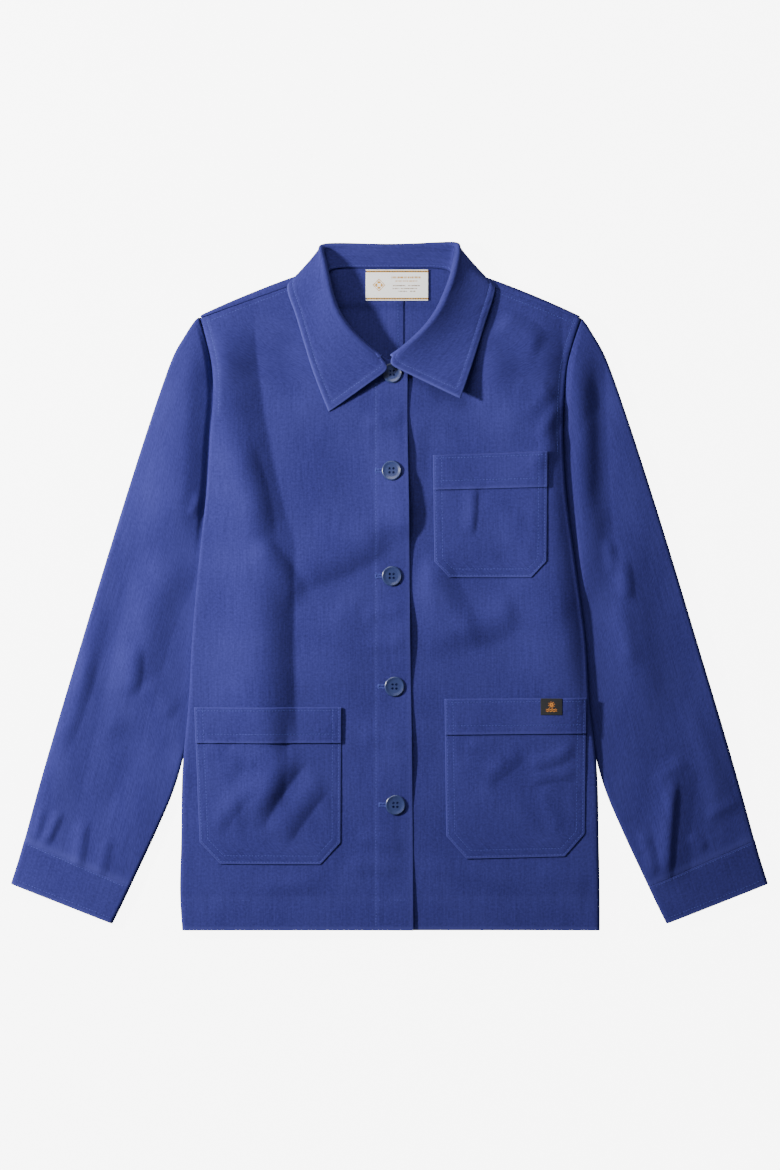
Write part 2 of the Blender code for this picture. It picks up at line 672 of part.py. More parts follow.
def material(name, colour, roughness):
    made = bpy.data.materials.new(name)
    made.use_nodes = True
    shader = made.node_tree.nodes["Principled BSDF"]
    shader.inputs["Base Color"].default_value = (*colour, 1)
    shader.inputs["Roughness"].default_value = roughness
    shader.inputs["Metallic"].default_value = 0.0
    return made


def add_object(name, mesh, collection, finish):
    made = bpy.data.objects.new(name, mesh)
    mesh.materials.append(material(f"{name}_finish", *finish))
    collection.objects.link(made)
    return made


def cloth(name, points, wall, collection, finish, keep=None):
    """A wall of cloth round a grid of points in its middle."""
    rows, columns = points.shape[:2]
    bm = bmesh.new()
    bmesh.ops.create_grid(bm, x_segments=columns - 1, y_segments=rows - 1, size=1)
    for vert, point in zip(bm.verts, points.reshape(-1, 3)):
        vert.co = Vector(point) * MM
    if keep is not None:
        gone = [face for face, kept in zip(bm.faces, keep.ravel()) if not kept]
        bmesh.ops.delete(bm, geom=gone, context="FACES")
    bmesh.ops.remove_doubles(bm, verts=bm.verts, dist=1e-6)
    mesh = bpy.data.meshes.new(name)
    bm.to_mesh(mesh)
    bm.free()
    mesh.shade_smooth()
    made = add_object(name, mesh, collection, finish)
    solidify = made.modifiers.new("wall", "SOLIDIFY")
    solidify.thickness = wall * MM
    solidify.offset = 0
    solidify.use_even_offset = True
    return made


def button_profile():
    """Half section of a button, from the middle of its face to its back."""
    face = BUTTON_THICK - BUTTON_SINK
    return (
        (0, face),
        (BUTTON_RADIUS - BUTTON_RIM - 1.3, face),
        (BUTTON_RADIUS - BUTTON_RIM, BUTTON_THICK - 0.1),
        (BUTTON_RADIUS - 0.7, BUTTON_THICK),
        (BUTTON_RADIUS, BUTTON_THICK - 0.8),
        (BUTTON_RADIUS, 1.2),
        (BUTTON_RADIUS - 1.6, 0),
        (0, 0),
    )


def button_mesh(cutters):
    """One button: a turned disc with four round holes."""
    bm = bmesh.new()
    verts = [bm.verts.new((r * MM, 0, z * MM)) for r, z in button_profile()]
    for a, b in zip(verts, verts[1:]):
        bm.edges.new((a, b))
    mesh = bpy.data.meshes.new("button_profile")
    bm.to_mesh(mesh)
    bm.free()
    disc = bpy.data.objects.new("button_blank", mesh)
    cutters.objects.link(disc)
    screw = disc.modifiers.new("turn", "SCREW")
    screw.steps = screw.render_steps = BUTTON_SIDES
    screw.use_merge_vertices = True
    screw.merge_threshold = 1e-6
    bm = bmesh.new()
    for sx in (-1, 1):
        for sy in (-1, 1):
            place = Vector((sx, sy, 0.75)) * BUTTON_HOLE_SPREAD * MM
            bmesh.ops.create_cone(
                bm, cap_ends=True, segments=6, radius1=BUTTON_HOLE * MM,
                radius2=BUTTON_HOLE * MM, depth=3 * BUTTON_THICK * MM,
                matrix=Matrix.Translation(place))
    drill_mesh = bpy.data.meshes.new("button_drill")
    bm.to_mesh(drill_mesh)
    bm.free()
    drill = bpy.data.objects.new("button_drill", drill_mesh)
    cutters.objects.link(drill)
    for helper in (disc, drill):
        helper.hide_render = True
        helper.display_type = "WIRE"
    cut = disc.modifiers.new("holes", "BOOLEAN")
    cut.object = drill
    cut.operation = "DIFFERENCE"
    bpy.context.view_layer.update()
    graph = bpy.context.evaluated_depsgraph_get()
    made = bpy.data.meshes.new_from_object(disc.evaluated_get(graph))
    made.name = "button"
    made.set_sharp_from_angle(angle=math.radians(40))
    return made


def add_button(number, place, mesh, collection):
    """A button that lies on the right front, square to it."""
    x, y = place
    angles = np.linspace(0, 2 * math.pi, 12, endpoint=False)
    ring_x, ring_y = x + BUTTON_RADIUS * np.cos(angles), y + BUTTON_RADIUS * np.sin(angles)
    middle = np.array([ring_x, ring_y, front_height(ring_x, ring_y, RIGHT)]).T
    centre = middle.mean(axis=0)
    normal = np.linalg.svd(middle - centre)[2][2]
    normal = normal * np.sign(normal[2])
    inside = np.linspace(-1, 1, 9) * BUTTON_RADIUS
    px, py = np.meshgrid(x + inside, y + inside)
    under = np.hypot(px - x, py - y) <= BUTTON_RADIUS
    points = np.stack([px, py, front_height(px, py, RIGHT)], axis=-1)[under]
    proud = ((points - centre) @ normal).max()
    seat = centre + normal * (proud + CLOTH / 2 + SEAM)
    made = bpy.data.objects.new(f"button_{number}", mesh)
    made.location = Vector(seat) * MM
    made.rotation_mode = "QUATERNION"
    made.rotation_quaternion = Vector((0, 0, 1)).rotation_difference(Vector(normal))
    collection.objects.link(made)
    return made


def main():
    for old in list(bpy.data.objects):
        bpy.data.objects.remove(old, do_unlink=True)
    jacket = bpy.data.collections.new("chore_jacket")
    cutters = bpy.data.collections.new("cutters")
    for collection in (jacket, cutters):
        bpy.context.scene.collection.children.link(collection)

    twill = (TWILL_BLUE, 0.85)
    for side, name in SIDES.items():
        points, keep = back_points(side)
        cloth(f"back_{name}", points, CLOTH, jacket, twill, keep)
        cloth(f"front_{name}", front_points(side), CLOTH, jacket, twill)
        cloth(f"sleeve_{name}", sleeve_points(side), CLOTH, jacket, twill)
        cloth(f"cuff_{name}", cuff_points(side), CUFF_CLOTH, jacket, twill)
    cloth("collar", collar_points(), COLLAR_CLOTH, jacket, twill)
    cloth("chest_pocket", pocket_points(CHEST_POCKET), POCKET_CLOTH, jacket, twill)
    cloth("lower_pocket_right", pocket_points(LOWER_POCKET_RIGHT), POCKET_CLOTH, jacket, twill)
    cloth("lower_pocket_left", pocket_points(LOWER_POCKET_LEFT), POCKET_CLOTH, jacket, twill)
    cloth("neck_label", label_points(), LABEL_CLOTH, jacket, (LABEL_WHITE, 0.6))
    cloth("pocket_tag", tag_points(), LABEL_CLOTH, jacket, (TAG_BLACK, 0.6))

    button = button_mesh(cutters)
    button.materials.clear()
    button.materials.append(material("button_plastic", BUTTON_BLUE, 0.35))
    for number, place in enumerate(BUTTON_PLACES, 1):
        add_button(number, place, button, jacket)


main()
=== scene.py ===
# Chore jacket of washed cotton twill, buttoned and laid flat on its back.
# Sizes are millimetres from the middle of the jacket, on the surface under it:
# +X to the wearer's left, +Y to the collar, +Z up through the layers.
import math

import bmesh
import bpy
import numpy as np
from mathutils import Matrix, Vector


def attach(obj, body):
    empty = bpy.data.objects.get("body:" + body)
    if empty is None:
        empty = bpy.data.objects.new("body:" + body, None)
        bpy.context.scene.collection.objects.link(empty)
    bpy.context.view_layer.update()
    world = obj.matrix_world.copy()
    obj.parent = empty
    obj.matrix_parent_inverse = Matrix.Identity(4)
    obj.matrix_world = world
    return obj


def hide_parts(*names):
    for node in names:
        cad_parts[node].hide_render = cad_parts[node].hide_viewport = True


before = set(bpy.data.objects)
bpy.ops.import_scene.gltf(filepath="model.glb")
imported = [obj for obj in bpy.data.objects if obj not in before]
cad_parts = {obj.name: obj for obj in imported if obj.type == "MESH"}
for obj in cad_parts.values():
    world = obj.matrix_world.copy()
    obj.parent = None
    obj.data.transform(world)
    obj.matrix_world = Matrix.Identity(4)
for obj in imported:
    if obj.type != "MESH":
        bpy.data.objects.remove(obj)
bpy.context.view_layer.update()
print("frame loaded:", len(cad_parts), "nodes")

mm = 0.001
right, left = -1, 1
sideName = {right: "Right", left: "Left"}


# A small table becomes named columns
def columnsOf(names, *rows):
    return dict(zip(names.split(), np.array(rows, float).T))


# 0 before start, 1 past end, eased between them
def ramp(value, start, end):
    t = np.clip((value - start) / (end - start), 0, 1)
    return t * t * (3 - 2 * t)


# Cubic through the values at the keys, with slopes from their neighbours
def smoothAlong(keys, values, at):
    slopes = np.gradient(values, keys)
    at = np.clip(at, keys[0], keys[-1])
    i = np.clip(np.searchsorted(keys, at, side="right") - 1, 0, len(keys) - 2)
    gap = keys[i + 1] - keys[i]
    t = (at - keys[i]) / gap
    return (
        (1 + 2 * t) * (1 - t) ** 2 * values[i]
        + t * (1 - t) ** 2 * gap * slopes[i]
        + t * t * (3 - 2 * t) * values[i + 1]
        + t * t * (t - 1) * gap * slopes[i + 1]
    )


# Seeded values on a square lattice of that size, eased between, from -1 to 1
def softNoise(x, y, size, seed):
    lattice = np.random.default_rng(seed).uniform(-1, 1, (89, 89))
    u, v = x / size + 211.3, y / size + 307.7
    i, j = np.floor(u).astype(int), np.floor(v).astype(int)
    s, t = u - i, v - j
    s = s ** 3 * (s * (6 * s - 15) + 10)
    t = t ** 3 * (t * (6 * t - 15) + 10)
    low = lattice[i % 89, j % 89] * (1 - s) + lattice[(i + 1) % 89, j % 89] * s
    high = lattice[i % 89, (j + 1) % 89] * (1 - s) + lattice[(i + 1) % 89, (j + 1) % 89] * s
    return low * (1 - t) + high * t


# Each row of the table is a ridge, or a hollow where its height is below zero:
# a bell across it with a width on each side, faded at its two ends. On its
# plus side a share of it is a quarter cosine, which ends in a sharp foot.
def creases(rows, x, y):
    total = np.zeros(np.broadcast(x, y).shape)
    for x0, y0, x1, y1, bow, height, minus, plus, foot in zip(*rows.values()):
        length = math.hypot(x1 - x0, y1 - y0)
        dx, dy = (x1 - x0) / length, (y1 - y0) / length
        t = ((x - x0) * dx + (y - y0) * dy) / length
        run = np.clip(t, 0, 1)
        across = (y - y0) * dx - (x - x0) * dy - bow * 4 * run * (1 - run)
        away = np.abs(across) / np.where(across < 0, minus, plus)
        bell = np.exp(-(away ** 2))
        fall = np.cos(math.pi / 2 * np.clip(away / 1.6, 0, 1))
        shape = bell + np.where(across < 0, 0, foot) * (fall - bell)
        total += height * ramp(t, -0.1, 0.22) * ramp(1 - t, -0.1, 0.22) * shape
    return total


# Distance to the nearest point of a polyline, and how far along it that is
def pathField(path, x, y):
    away = np.full(np.broadcast(x, y).shape, 1e6)
    where = np.zeros(away.shape)
    travelled = 0.0
    for (ax, ay), (bx, by) in zip(path[:-1], path[1:]):
        length = math.hypot(bx - ax, by - ay)
        t = np.clip(((x - ax) * (bx - ax) + (y - ay) * (by - ay)) / length ** 2, 0, 1)
        here = np.hypot(x - ax - t * (bx - ax), y - ay - t * (by - ay))
        nearer = here < away
        away = np.where(nearer, here, away)
        where = np.where(nearer, travelled + t * length, where)
        travelled += length
    return away, where


# A stitch line pulls a groove in the cloth and small puckers that die out
# beside it: a bell across the line, times noise along it
def seamRelief(path, x, y, depth=0.22, width=1.1, pucker=0.16, reach=5.0, pitch=7.0, seed=1):
    away, where = pathField(path, x, y)
    ripple = softNoise(where, where * 0, pitch, seed)
    ripple = ripple + 0.5 * softNoise(where, where * 0, pitch / 2.3, seed + 1)
    return -depth * np.exp(-((away / width) ** 2)) + pucker * ripple * np.exp(-((away / reach) ** 2))


# Undulation that all washed cloth has: three sizes of soft noise
def clothNoise(x, y, seed, amount=1.0):
    wide = 0.34 * softNoise(x, y, 46, seed) + 0.16 * softNoise(x, y, 19, seed + 1)
    return amount * (wide + 0.05 * softNoise(x, y, 8, seed + 2) + 0.022 * softNoise(x, y, 3.7, seed + 3))


def unit(vectors):
    return vectors / np.maximum(np.linalg.norm(vectors, axis=-1, keepdims=True), 1e-9)


# Across the grid's two directions: the cross product of their differences
def gridNormals(points, tube=False):
    if tube:
        ring = np.concatenate([points[:, -2:-1], points, points[:, 1:2]], axis=1)
        across = np.gradient(ring, axis=1)[:, 1:-1]
    else:
        across = np.gradient(points, axis=1)
    return unit(np.cross(across, np.gradient(points, axis=0)))


# Cloth coordinates: the way travelled along the grid's rows and its columns
def clothUv(points):
    u = np.zeros(points.shape[:2])
    v = np.zeros(points.shape[:2])
    u[:, 1:] = np.cumsum(np.linalg.norm(np.diff(points, axis=1), axis=-1), axis=1)
    v[1:] = np.cumsum(np.linalg.norm(np.diff(points, axis=0), axis=-1), axis=0)
    return np.stack([u, v], axis=-1) * mm


# Two faces half a wall to each side of the grid, joined by half rounds at its
# rim, as a turned edge of cloth is. The result is a closed grid.
def wallShell(points, uv, wear, wall, tube=False):
    half = wall / 2
    turns = np.radians([30, 60, 90])
    normal = gridNormals(points, tube)
    before = [points[0] + unit(points[0] - points[1]) * half * math.sin(a) for a in turns[::-1]]
    after = [points[-1] + unit(points[-1] - points[-2]) * half * math.sin(a) for a in turns]
    middle = np.concatenate([before, points, after])
    stretch = [0, 0, 0] + list(range(len(points))) + [len(points) - 1] * 3
    normal, uv, wear = normal[stretch], uv[stretch], wear[stretch]
    thick = np.concatenate([np.cos(turns[::-1]), np.ones(len(points)), np.cos(turns)])
    lift = normal * (half * thick)[:, None, None]
    if tube:
        shell = np.concatenate([middle + lift, (middle - lift)[::-1]])
        return shell, np.concatenate([uv, uv[::-1]]), np.concatenate([wear, wear[::-1]])
    rims = []
    for end, near in ((-1, -2), (0, 1)):
        out = unit(middle[:, end] - middle[:, near]) * (half * thick)[:, None]
        way = lift[:, end] * (1 if end == -1 else -1)
        angles = np.radians([45, 90, 135])
        rim = [middle[:, end] + out * math.sin(a) + way * math.cos(a) for a in angles]
        rims.append(np.stack(rim, axis=1))
    shell = np.concatenate([middle + lift, rims[0], (middle - lift)[:, ::-1], rims[1]], axis=1)
    shell = np.concatenate([shell, shell[:, :1]], axis=1)
    last = points.shape[1] - 1
    order = list(range(last + 1)) + [last] * 3 + list(range(last, -1, -1)) + [0, 0, 0, 0]
    return shell, uv[:, order], wear[:, order]


# Quads between neighbouring points of a grid, with its cloth coordinates and a
# wear value, welded where rows or columns meet
def gridMesh(name, points, uv, wear, keep=None):
    rows, columns = points.shape[:2]
    index = np.arange(rows * columns).reshape(rows, columns)
    quads = np.stack([index[:-1, :-1], index[:-1, 1:], index[1:, 1:], index[1:, :-1]], axis=-1).reshape(-1, 4)
    if keep is not None:
        quads = quads[keep.ravel()]
    return meshOf(name, points.reshape(-1, 3), quads, uv.reshape(-1, 2), wear.ravel())


def meshOf(name, points, faces, uv=None, wear=None, weld=True):
    mesh = bpy.data.meshes.new(name)
    mesh.vertices.add(len(points))
    mesh.vertices.foreach_set("co", (np.asarray(points, float) * mm).ravel())
    mesh.loops.add(faces.size)
    mesh.loops.foreach_set("vertex_index", faces.ravel().astype(np.int32))
    mesh.polygons.add(len(faces))
    mesh.polygons.foreach_set("loop_start", np.arange(0, faces.size, faces.shape[1], dtype=np.int32))
    mesh.update(calc_edges=True)
    if wear is not None:
        mesh.attributes.new("wear", "FLOAT", "POINT").data.foreach_set("value", wear.astype(np.float32))
    if uv is not None:
        layer = mesh.uv_layers.new(name="cloth")
        layer.data.foreach_set("uv", uv[faces.ravel()].astype(np.float32).ravel())
    if weld:
        bm = bmesh.new()
        bm.from_mesh(mesh)
        bmesh.ops.remove_doubles(bm, verts=bm.verts, dist=1e-6)
        bmesh.ops.delete(bm, geom=[v for v in bm.verts if not v.link_faces], context="VERTS")
        bm.to_mesh(mesh)
        bm.free()
    mesh.shade_smooth()
    return mesh


def addPiece(name, mesh, finish, slot, *nodes):
    piece = bpy.data.objects.new(name, mesh)
    bpy.context.scene.collection.objects.link(piece)
    mesh.materials.append(finish)
    if nodes:
        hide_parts(*nodes)
    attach(piece, "root")
    return piece


# From a colour code to linear light
def srgb(code):
    parts = [int(code[i:i + 2], 16) / 255 for i in (1, 3, 5)]
    return tuple(c / 12.92 if c <= 0.04045 else ((c + 0.055) / 1.055) ** 2.4 for c in parts) + (1,)


# One node with its settings, its inputs' values and its links
def addNode(tree, kind, settings=None, values=None, links=None):
    node = tree.nodes.new(kind)
    for key, value in (settings or {}).items():
        setattr(node, key, value)
    for key, value in (values or {}).items():
        node.inputs[key].default_value = value
    for key, socket in (links or {}).items():
        tree.links.new(socket, node.inputs[key])
    return node


def newMaterial(name):
    made = bpy.data.materials.new(name)
    made.use_nodes = True
    return made, made.node_tree, made.node_tree.nodes["Principled BSDF"]


# Cotton twill, piece dyed royal blue and garment washed: matt, with a fine
# diagonal rib, a faded bloom on seams and folds, and a short nap
twillLook = dict(
    blue="#333377", dark="#222256", faded="#484A92", ribMm=0.75, mottleMm=2.4, warpMm=1.5, cloudMm=60,
)


def makeTwill(name, blue, dark, faded):
    made, tree, shader = newMaterial(name)
    uv = addNode(tree, "ShaderNodeUVMap", {"uv_map": "cloth"}).outputs[0]
    ribs = addNode(tree, "ShaderNodeTexWave",
                   {"wave_type": "BANDS", "bands_direction": "DIAGONAL"},
                   {"Scale": 1 / (twillLook["ribMm"] * mm * 20), "Distortion": 1.2, "Detail": 2.0,
                    "Detail Scale": 3.0}, {"Vector": uv})
    slub = addNode(tree, "ShaderNodeTexNoise", None,
                   {"Scale": 1 / (twillLook["mottleMm"] * mm), "Detail": 5.0, "Roughness": 0.72},
                   {"Vector": uv})
    # Warp threads: noise drawn out about thirty times along the cloth
    drawn = addNode(tree, "ShaderNodeVectorMath", {"operation": "MULTIPLY"}, {1: (1.0, 0.035, 1.0)}, {0: uv})
    warp = addNode(tree, "ShaderNodeTexNoise", None,
                   {"Scale": 1 / (twillLook["warpMm"] * mm), "Detail": 3.0, "Roughness": 0.6},
                   {"Vector": drawn.outputs[0]})
    cloud = addNode(tree, "ShaderNodeTexNoise", None,
                    {"Scale": 1 / (twillLook["cloudMm"] * mm), "Detail": 3.0}, {"Vector": uv})
    wear = addNode(tree, "ShaderNodeAttribute", {"attribute_name": "wear"}).outputs["Fac"]
    yarns = addNode(tree, "ShaderNodeMath", {"operation": "MULTIPLY_ADD"}, {1: 0.42},
                    {0: warp.outputs[0], 2: slub.outputs[0]})
    heather = addNode(tree, "ShaderNodeMapRange", None,
                      {"From Min": 0.50, "From Max": 0.92, "To Min": 0.0, "To Max": 1.0},
                      {"Value": yarns.outputs[0]})
    base = addNode(tree, "ShaderNodeMix", {"data_type": "RGBA"},
                   {"A": srgb(dark), "B": srgb(blue)}, {"Factor": heather.outputs[0]})
    drift = addNode(tree, "ShaderNodeMapRange", None,
                    {"From Min": 0.3, "From Max": 0.7, "To Min": 0.0, "To Max": 0.16},
                    {"Value": cloud.outputs[0]})
    clouded = addNode(tree, "ShaderNodeMix", {"data_type": "RGBA"},
                      {"B": srgb(faded)}, {"Factor": drift.outputs[0], "A": base.outputs["Result"]})
    worn = addNode(tree, "ShaderNodeMix", {"data_type": "RGBA"},
                   {"B": srgb(faded)}, {"Factor": wear, "A": clouded.outputs["Result"]})
    tree.links.new(worn.outputs["Result"], shader.inputs["Base Color"])
    grain = addNode(tree, "ShaderNodeMath", {"operation": "MULTIPLY_ADD"}, {1: 0.16},
                    {0: ribs.outputs[1], 2: yarns.outputs[0]})
    bump = addNode(tree, "ShaderNodeBump", None, {"Strength": 0.6, "Distance": 0.00032},
                   {"Height": grain.outputs[0]})
    tree.links.new(bump.outputs[0], shader.inputs["Normal"])
    shader.inputs["Roughness"].default_value = 0.88
    shader.inputs["Specular IOR Level"].default_value = 0.12
    shader.inputs["Sheen Weight"].default_value = 0.02
    shader.inputs["Sheen Roughness"].default_value = 0.45
    shader.inputs["Sheen Tint"].default_value = srgb("#8FA0E0")
    return made


twill = makeTwill("cotton_twill_washed", twillLook["blue"], twillLook["dark"], twillLook["faded"])


# Spun polyester-cotton thread: in the seams a little lighter than the cloth, and
# through the buttons a darker one
def makeThread(name, tone):
    made, tree, shader = newMaterial(name)
    shader.inputs["Base Color"].default_value = srgb(tone)
    shader.inputs["Roughness"].default_value = 0.75
    shader.inputs["Specular IOR Level"].default_value = 0.15
    noise = addNode(tree, "ShaderNodeTexNoise", None, {"Scale": 900.0, "Detail": 2.0})
    bump = addNode(tree, "ShaderNodeBump", None, {"Strength": 0.3, "Distance": 0.0001},
                   {"Height": noise.outputs[0]})
    tree.links.new(bump.outputs[0], shader.inputs["Normal"])
    return made


thread = makeThread("spun_thread", "#484F9A")
buttonThread = makeThread("spun_thread_dark", "#2A2F66")


# Cast polyester button, turned and tumbled: dark blue, satin, slightly cloudy
def makeButtonPlastic():
    made, tree, shader = newMaterial("cast_polyester")
    place = addNode(tree, "ShaderNodeTexCoord").outputs["Object"]
    cloud = addNode(tree, "ShaderNodeTexNoise", None, {"Scale": 160.0, "Detail": 3.0, "Distortion": 1.5},
                    {"Vector": place})
    tint = addNode(tree, "ShaderNodeMix", {"data_type": "RGBA"},
                   {"A": srgb("#273058"), "B": srgb("#323C6A")}, {"Factor": cloud.outputs[0]})
    tree.links.new(tint.outputs["Result"], shader.inputs["Base Color"])
    shader.inputs["Roughness"].default_value = 0.3
    shader.inputs["Specular IOR Level"].default_value = 0.5
    return made


buttonPlastic = makeButtonPlastic()
print("materials made")


# The cloth's thickness, the gap at its seams, and the heights of the middles of
# the layers. The back rises by the neck lift where the collar lies under it.
layers = dict(
    cloth=1.2, seam=0.3,
    floor=0.6, backTurn=2.2, sleeveLow=3.8, sleeveHigh=6.8, frontTurn=8.4, seamTurn=3.8,
    underFront=7.6, overFront=9.2, neckLift=2.9,
)

# Folded side edge of the body, out from the middle
bodyEdge = columnsOf(
    "y right left",
    (-344.4, 207.5, 210.5),
    (-315, 209.5, 210.5),
    (-255, 208.5, 209.5),
    (-183, 207.0, 207.5),
    (-118, 201.0, 200.0),
    (-55, 197.5, 196.0),
    (25, 190.5, 185.5),
    (100, 182.5, 176.0),
    (148, 179.5, 173.5),
    (195, 176.0, 175.0),
    (220, 177.5, 177.5),
    (245, 183.0, 184.0),
    (268.5, 190.0, 192.0),
)
# How deep that side is turned in, and the height of its fold
turnedIn = columnsOf(
    "y depth",
    (-344.4, 9), (-183, 38), (0, 54), (78, 63), (92, 50), (106, 37), (128, 21), (163, 8), (185, 5),
    (268.5, 5),
)
sideHeight = columnsOf(
    "y z",
    (-344.4, 9.4), (-183, 11.4), (0, 11.6), (100, 11.2), (150, 10.8), (195, 10.4), (268.5, 10.0),
)
# Folded edges of a sleeve, from the shoulder to the cuff
sleeveEdges = columnsOf(
    "outerX outerY innerX innerY",
    (186.5, 267.4, 139, 88),
    (192.8, 266.8, 140, 84),
    (204.0, 250.5, 142, 77),
    (218.0, 224.5, 145.5, 65),
    (239.0, 165.5, 152, 38),
    (263.5, 90.0, 163, -5),
    (286.5, 15.5, 179, -68),
    (309.0, -59.5, 199, -143),
    (331.5, -134.5, 214, -199),
    (349.0, -194.5, 232, -243),
    (365.5, -254.5, 259, -301),
)
# Length over which the turned-in side steps off the sleeve
stepRun = 12

# Ends of a crease, its bow to one side, its height, its two widths and how
# sharp its foot is on the plus side
creaseNames = "x0 y0 x1 y1 bow height minus plus foot"
# The largest folds of the two fronts
frontFolds = {
    right: columnsOf(
        creaseNames,
        (-172, 266, -128, 26, -8, 10.5, 32, 23, 0.8),
        (-128, 46, -126, -148, -2, 10.6, 36, 21, 1),
        (-122, -116, -127, -232, 2, 3.2, 26, 20, 0.5),
        (18, 112, 18, 50, 0, 2.6, 34, 60, 0),
    ),
    left: columnsOf(
        creaseNames,
        (150, 266, 184, -150, -6, 7.0, 40, 14, 1),
        (84, 262, 126, 140, 8, 3.6, 26, 24, 0),
    ),
}
# Finer creases of the two fronts, on top of those folds
frontCreases = {
    right: columnsOf(
        creaseNames,
        (-4, 58, -102, 14, 6, 4.8, 30, 14, 1),
        (-152, 140, -128, 40, 4, 2.4, 16, 10, 1),
        (-132, 42, -90, -14, 3, 3.6, 13, 8, 1),
        (-36, -24, -58, -112, 0, 2.7, 40, 28, 0),
        (-60, 150, -20, 60, 8, -1.8, 26, 20, 0),
        (-104, 250, -86, 180, -4, -1.5, 16, 18, 0),
        (-60, -40, -20, -10, 2, 0.9, 12, 10, 0),
        (-168, 250, -176, 160, 3, 1.5, 10, 14, 0),
        (14, -24, -26, -30, 0, 1.4, 8, 5, 1),
        (14, -58, -26, -60, 1, 1.2, 8, 5, 1),
        (14, -160, -28, -150, -1, 1.0, 8, 5, 1),
        (12, -262, -30, -250, -1, 1.4, 8, 6, 1),
        (8, -284, -40, -278, 0, 1.2, 9, 6, 0.8),
        (-70, -296, -130, -300, 2, 1.2, 9, 7, 0.6),
        (14, 170, -24, 160, 0, 1.2, 8, 6, 0.8),
    ),
    left: columnsOf(
        creaseNames,
        (36, 24, 76, -58, -2, 4.5, 26, 15, 0.6),
        (124, -22, 70, -46, 4, 3.6, 18, 13, 0.8),
        (172, 182, 150, 142, -3, 2.4, 8, 7, 0.5),
        (166, 152, 140, 118, 2, 1.7, 7, 8, 0.5),
        (158, 200, 136, 170, 2, 1.4, 7, 8, 0.5),
        (110, 264, 150, 238, 3, 3.3, 14, 10, 0.8),
        (110, 232, 104, 176, -5, 2.4, 16, 14, 0.5),
        (34, 160, 30, 100, 2, -1.5, 16, 14, 0),
        (40, 190, 120, 176, 4, -1.4, 14, 14, 0),
        (120, 2, 176, -30, 4, 1.2, 14, 12, 0),
        (30, -280, 120, -300, 3, 1.2, 10, 9, 0),
        (150, -286, 196, -300, 2, 1.2, 9, 8, 0),
    ),
}
# Lift of the lapping edge between its buttons
edgeLift = columnsOf(
    "y z",
    (-344.4, 1.2), (-325, 1.2), (-300, 0.3), (-225, 0), (-170, 2.0), (-100, 0), (-40, 3.5), (0, 0), (35, 1),
    (75, 6), (110, 2.8), (135, 3.2), (175, 0), (205, 1.6), (230, 1.0),
)
# How far the folds at the side bulge past their start
frontRoll, backRoll = 3.2, 1.0

# Where the rows of a front start, for the one that laps over and the one under
# it, and where they meet the side
frontRows = columnsOf(
    "innerY over under sideY",
    (-344.4, -23.5, -13.5, -344.4),
    (-250, -23.0, -13.5, -250),
    (-150, -22.0, -13.5, -150),
    (-50, -20.3, -13.5, -50),
    (40, -19.6, -13.5, 40),
    (84, -19.2, -13.5, 78),
    (128, -18.2, -13.5, 118),
    (175, -17.6, -13.5, 160),
    (214.5, -17.9, -13.5, 195),
    (229.5, 7.5, 11.5, 214),
    (250.5, 39.5, 42.0, 233),
    (280.5, 60.0, 61.5, 250),
    (310.6, 66.8, 67.6, 266.2),
)


def edgeX(y, side):
    return smoothAlong(bodyEdge["y"], bodyEdge["right" if side == right else "left"], y)


def sleeveInnerX(y):
    return np.interp(-y, -sleeveEdges["innerY"], sleeveEdges["innerX"])


# Level at the chest and full at the side, plus the folds, the finer creases
# and the lift of the lapping edge
def frontHeight(x, y, side):
    inward = np.maximum(edgeX(y, side) - side * x, 0)
    middle = layers["overFront" if side == right else "underFront"]
    full = smoothAlong(sideHeight["y"], sideHeight["z"], y)
    z = middle + (full - middle) * np.exp(-((inward / 75) ** 2))
    z = z + 1.4 * ramp(y, 215, 290) + creases(frontFolds[side], x, y)
    z = z + creases(frontCreases[side], x, y) * (1 if side == right else ramp(x, 22, 44))
    if side == right:
        lift = smoothAlong(edgeLift["y"], edgeLift["z"], y)
        z = z + lift * np.exp(-(np.maximum(21 - x, 0) / 24) ** 2)
    return z


def frontTurnHeight(x, y, side):
    past = side * x - sleeveInnerX(y) + 2 * np.maximum(y - sleeveEdges["innerY"][0] + 15, 0)
    return layers["seamTurn"] + (layers["frontTurn"] - layers["seamTurn"]) * ramp(past, -stepRun, 0)


def backHeight(x, y, side):
    under = ramp(y, 275, 285) * (1 - ramp(np.abs(x), 114, 130))
    return layers["floor"] + layers["neckLift"] * under


def backTurnHeight(x, y, side):
    return np.full(np.broadcast(x, y).shape, layers["backTurn"])


# Rows from an inner edge to the folded side, round that fold and in again
def panelPoints(inner, outer, side, height, turnHeight, roll, columns):
    flat, arc, turn = columns
    way = unit(outer - inner)
    start = outer - way * roll
    part = np.linspace(0, 1, flat + 1)[None, :, None]
    plan = inner[:, None] + (start - inner)[:, None] * part
    x, y = side * plan[..., 0], plan[..., 1]
    top = np.stack([x, y, height(x, y, side)], axis=-1)

    low = turnHeight(side * start[:, 0], start[:, 1], side)
    high = top[:, -1, 2]
    angle = np.linspace(0, math.pi, arc + 1)[None, 1:]
    out = start[:, None] + way[:, None] * (roll * np.sin(angle))[..., None]
    z = ((high + low) / 2)[:, None] + ((high - low) / 2)[:, None] * np.cos(angle)
    bend = np.stack([side * out[..., 0], out[..., 1], z], axis=-1)

    depth = np.interp(outer[:, 1], turnedIn["y"], turnedIn["depth"]) - roll
    inward = depth[:, None, None] * np.linspace(0, 1, turn + 1)[None, 1:, None]
    plan = start[:, None] - way[:, None] * inward
    x, y = side * plan[..., 0], plan[..., 1]
    under = np.stack([x, y, turnHeight(x, y, side)], axis=-1)
    return np.concatenate([top, bend, under], axis=1)


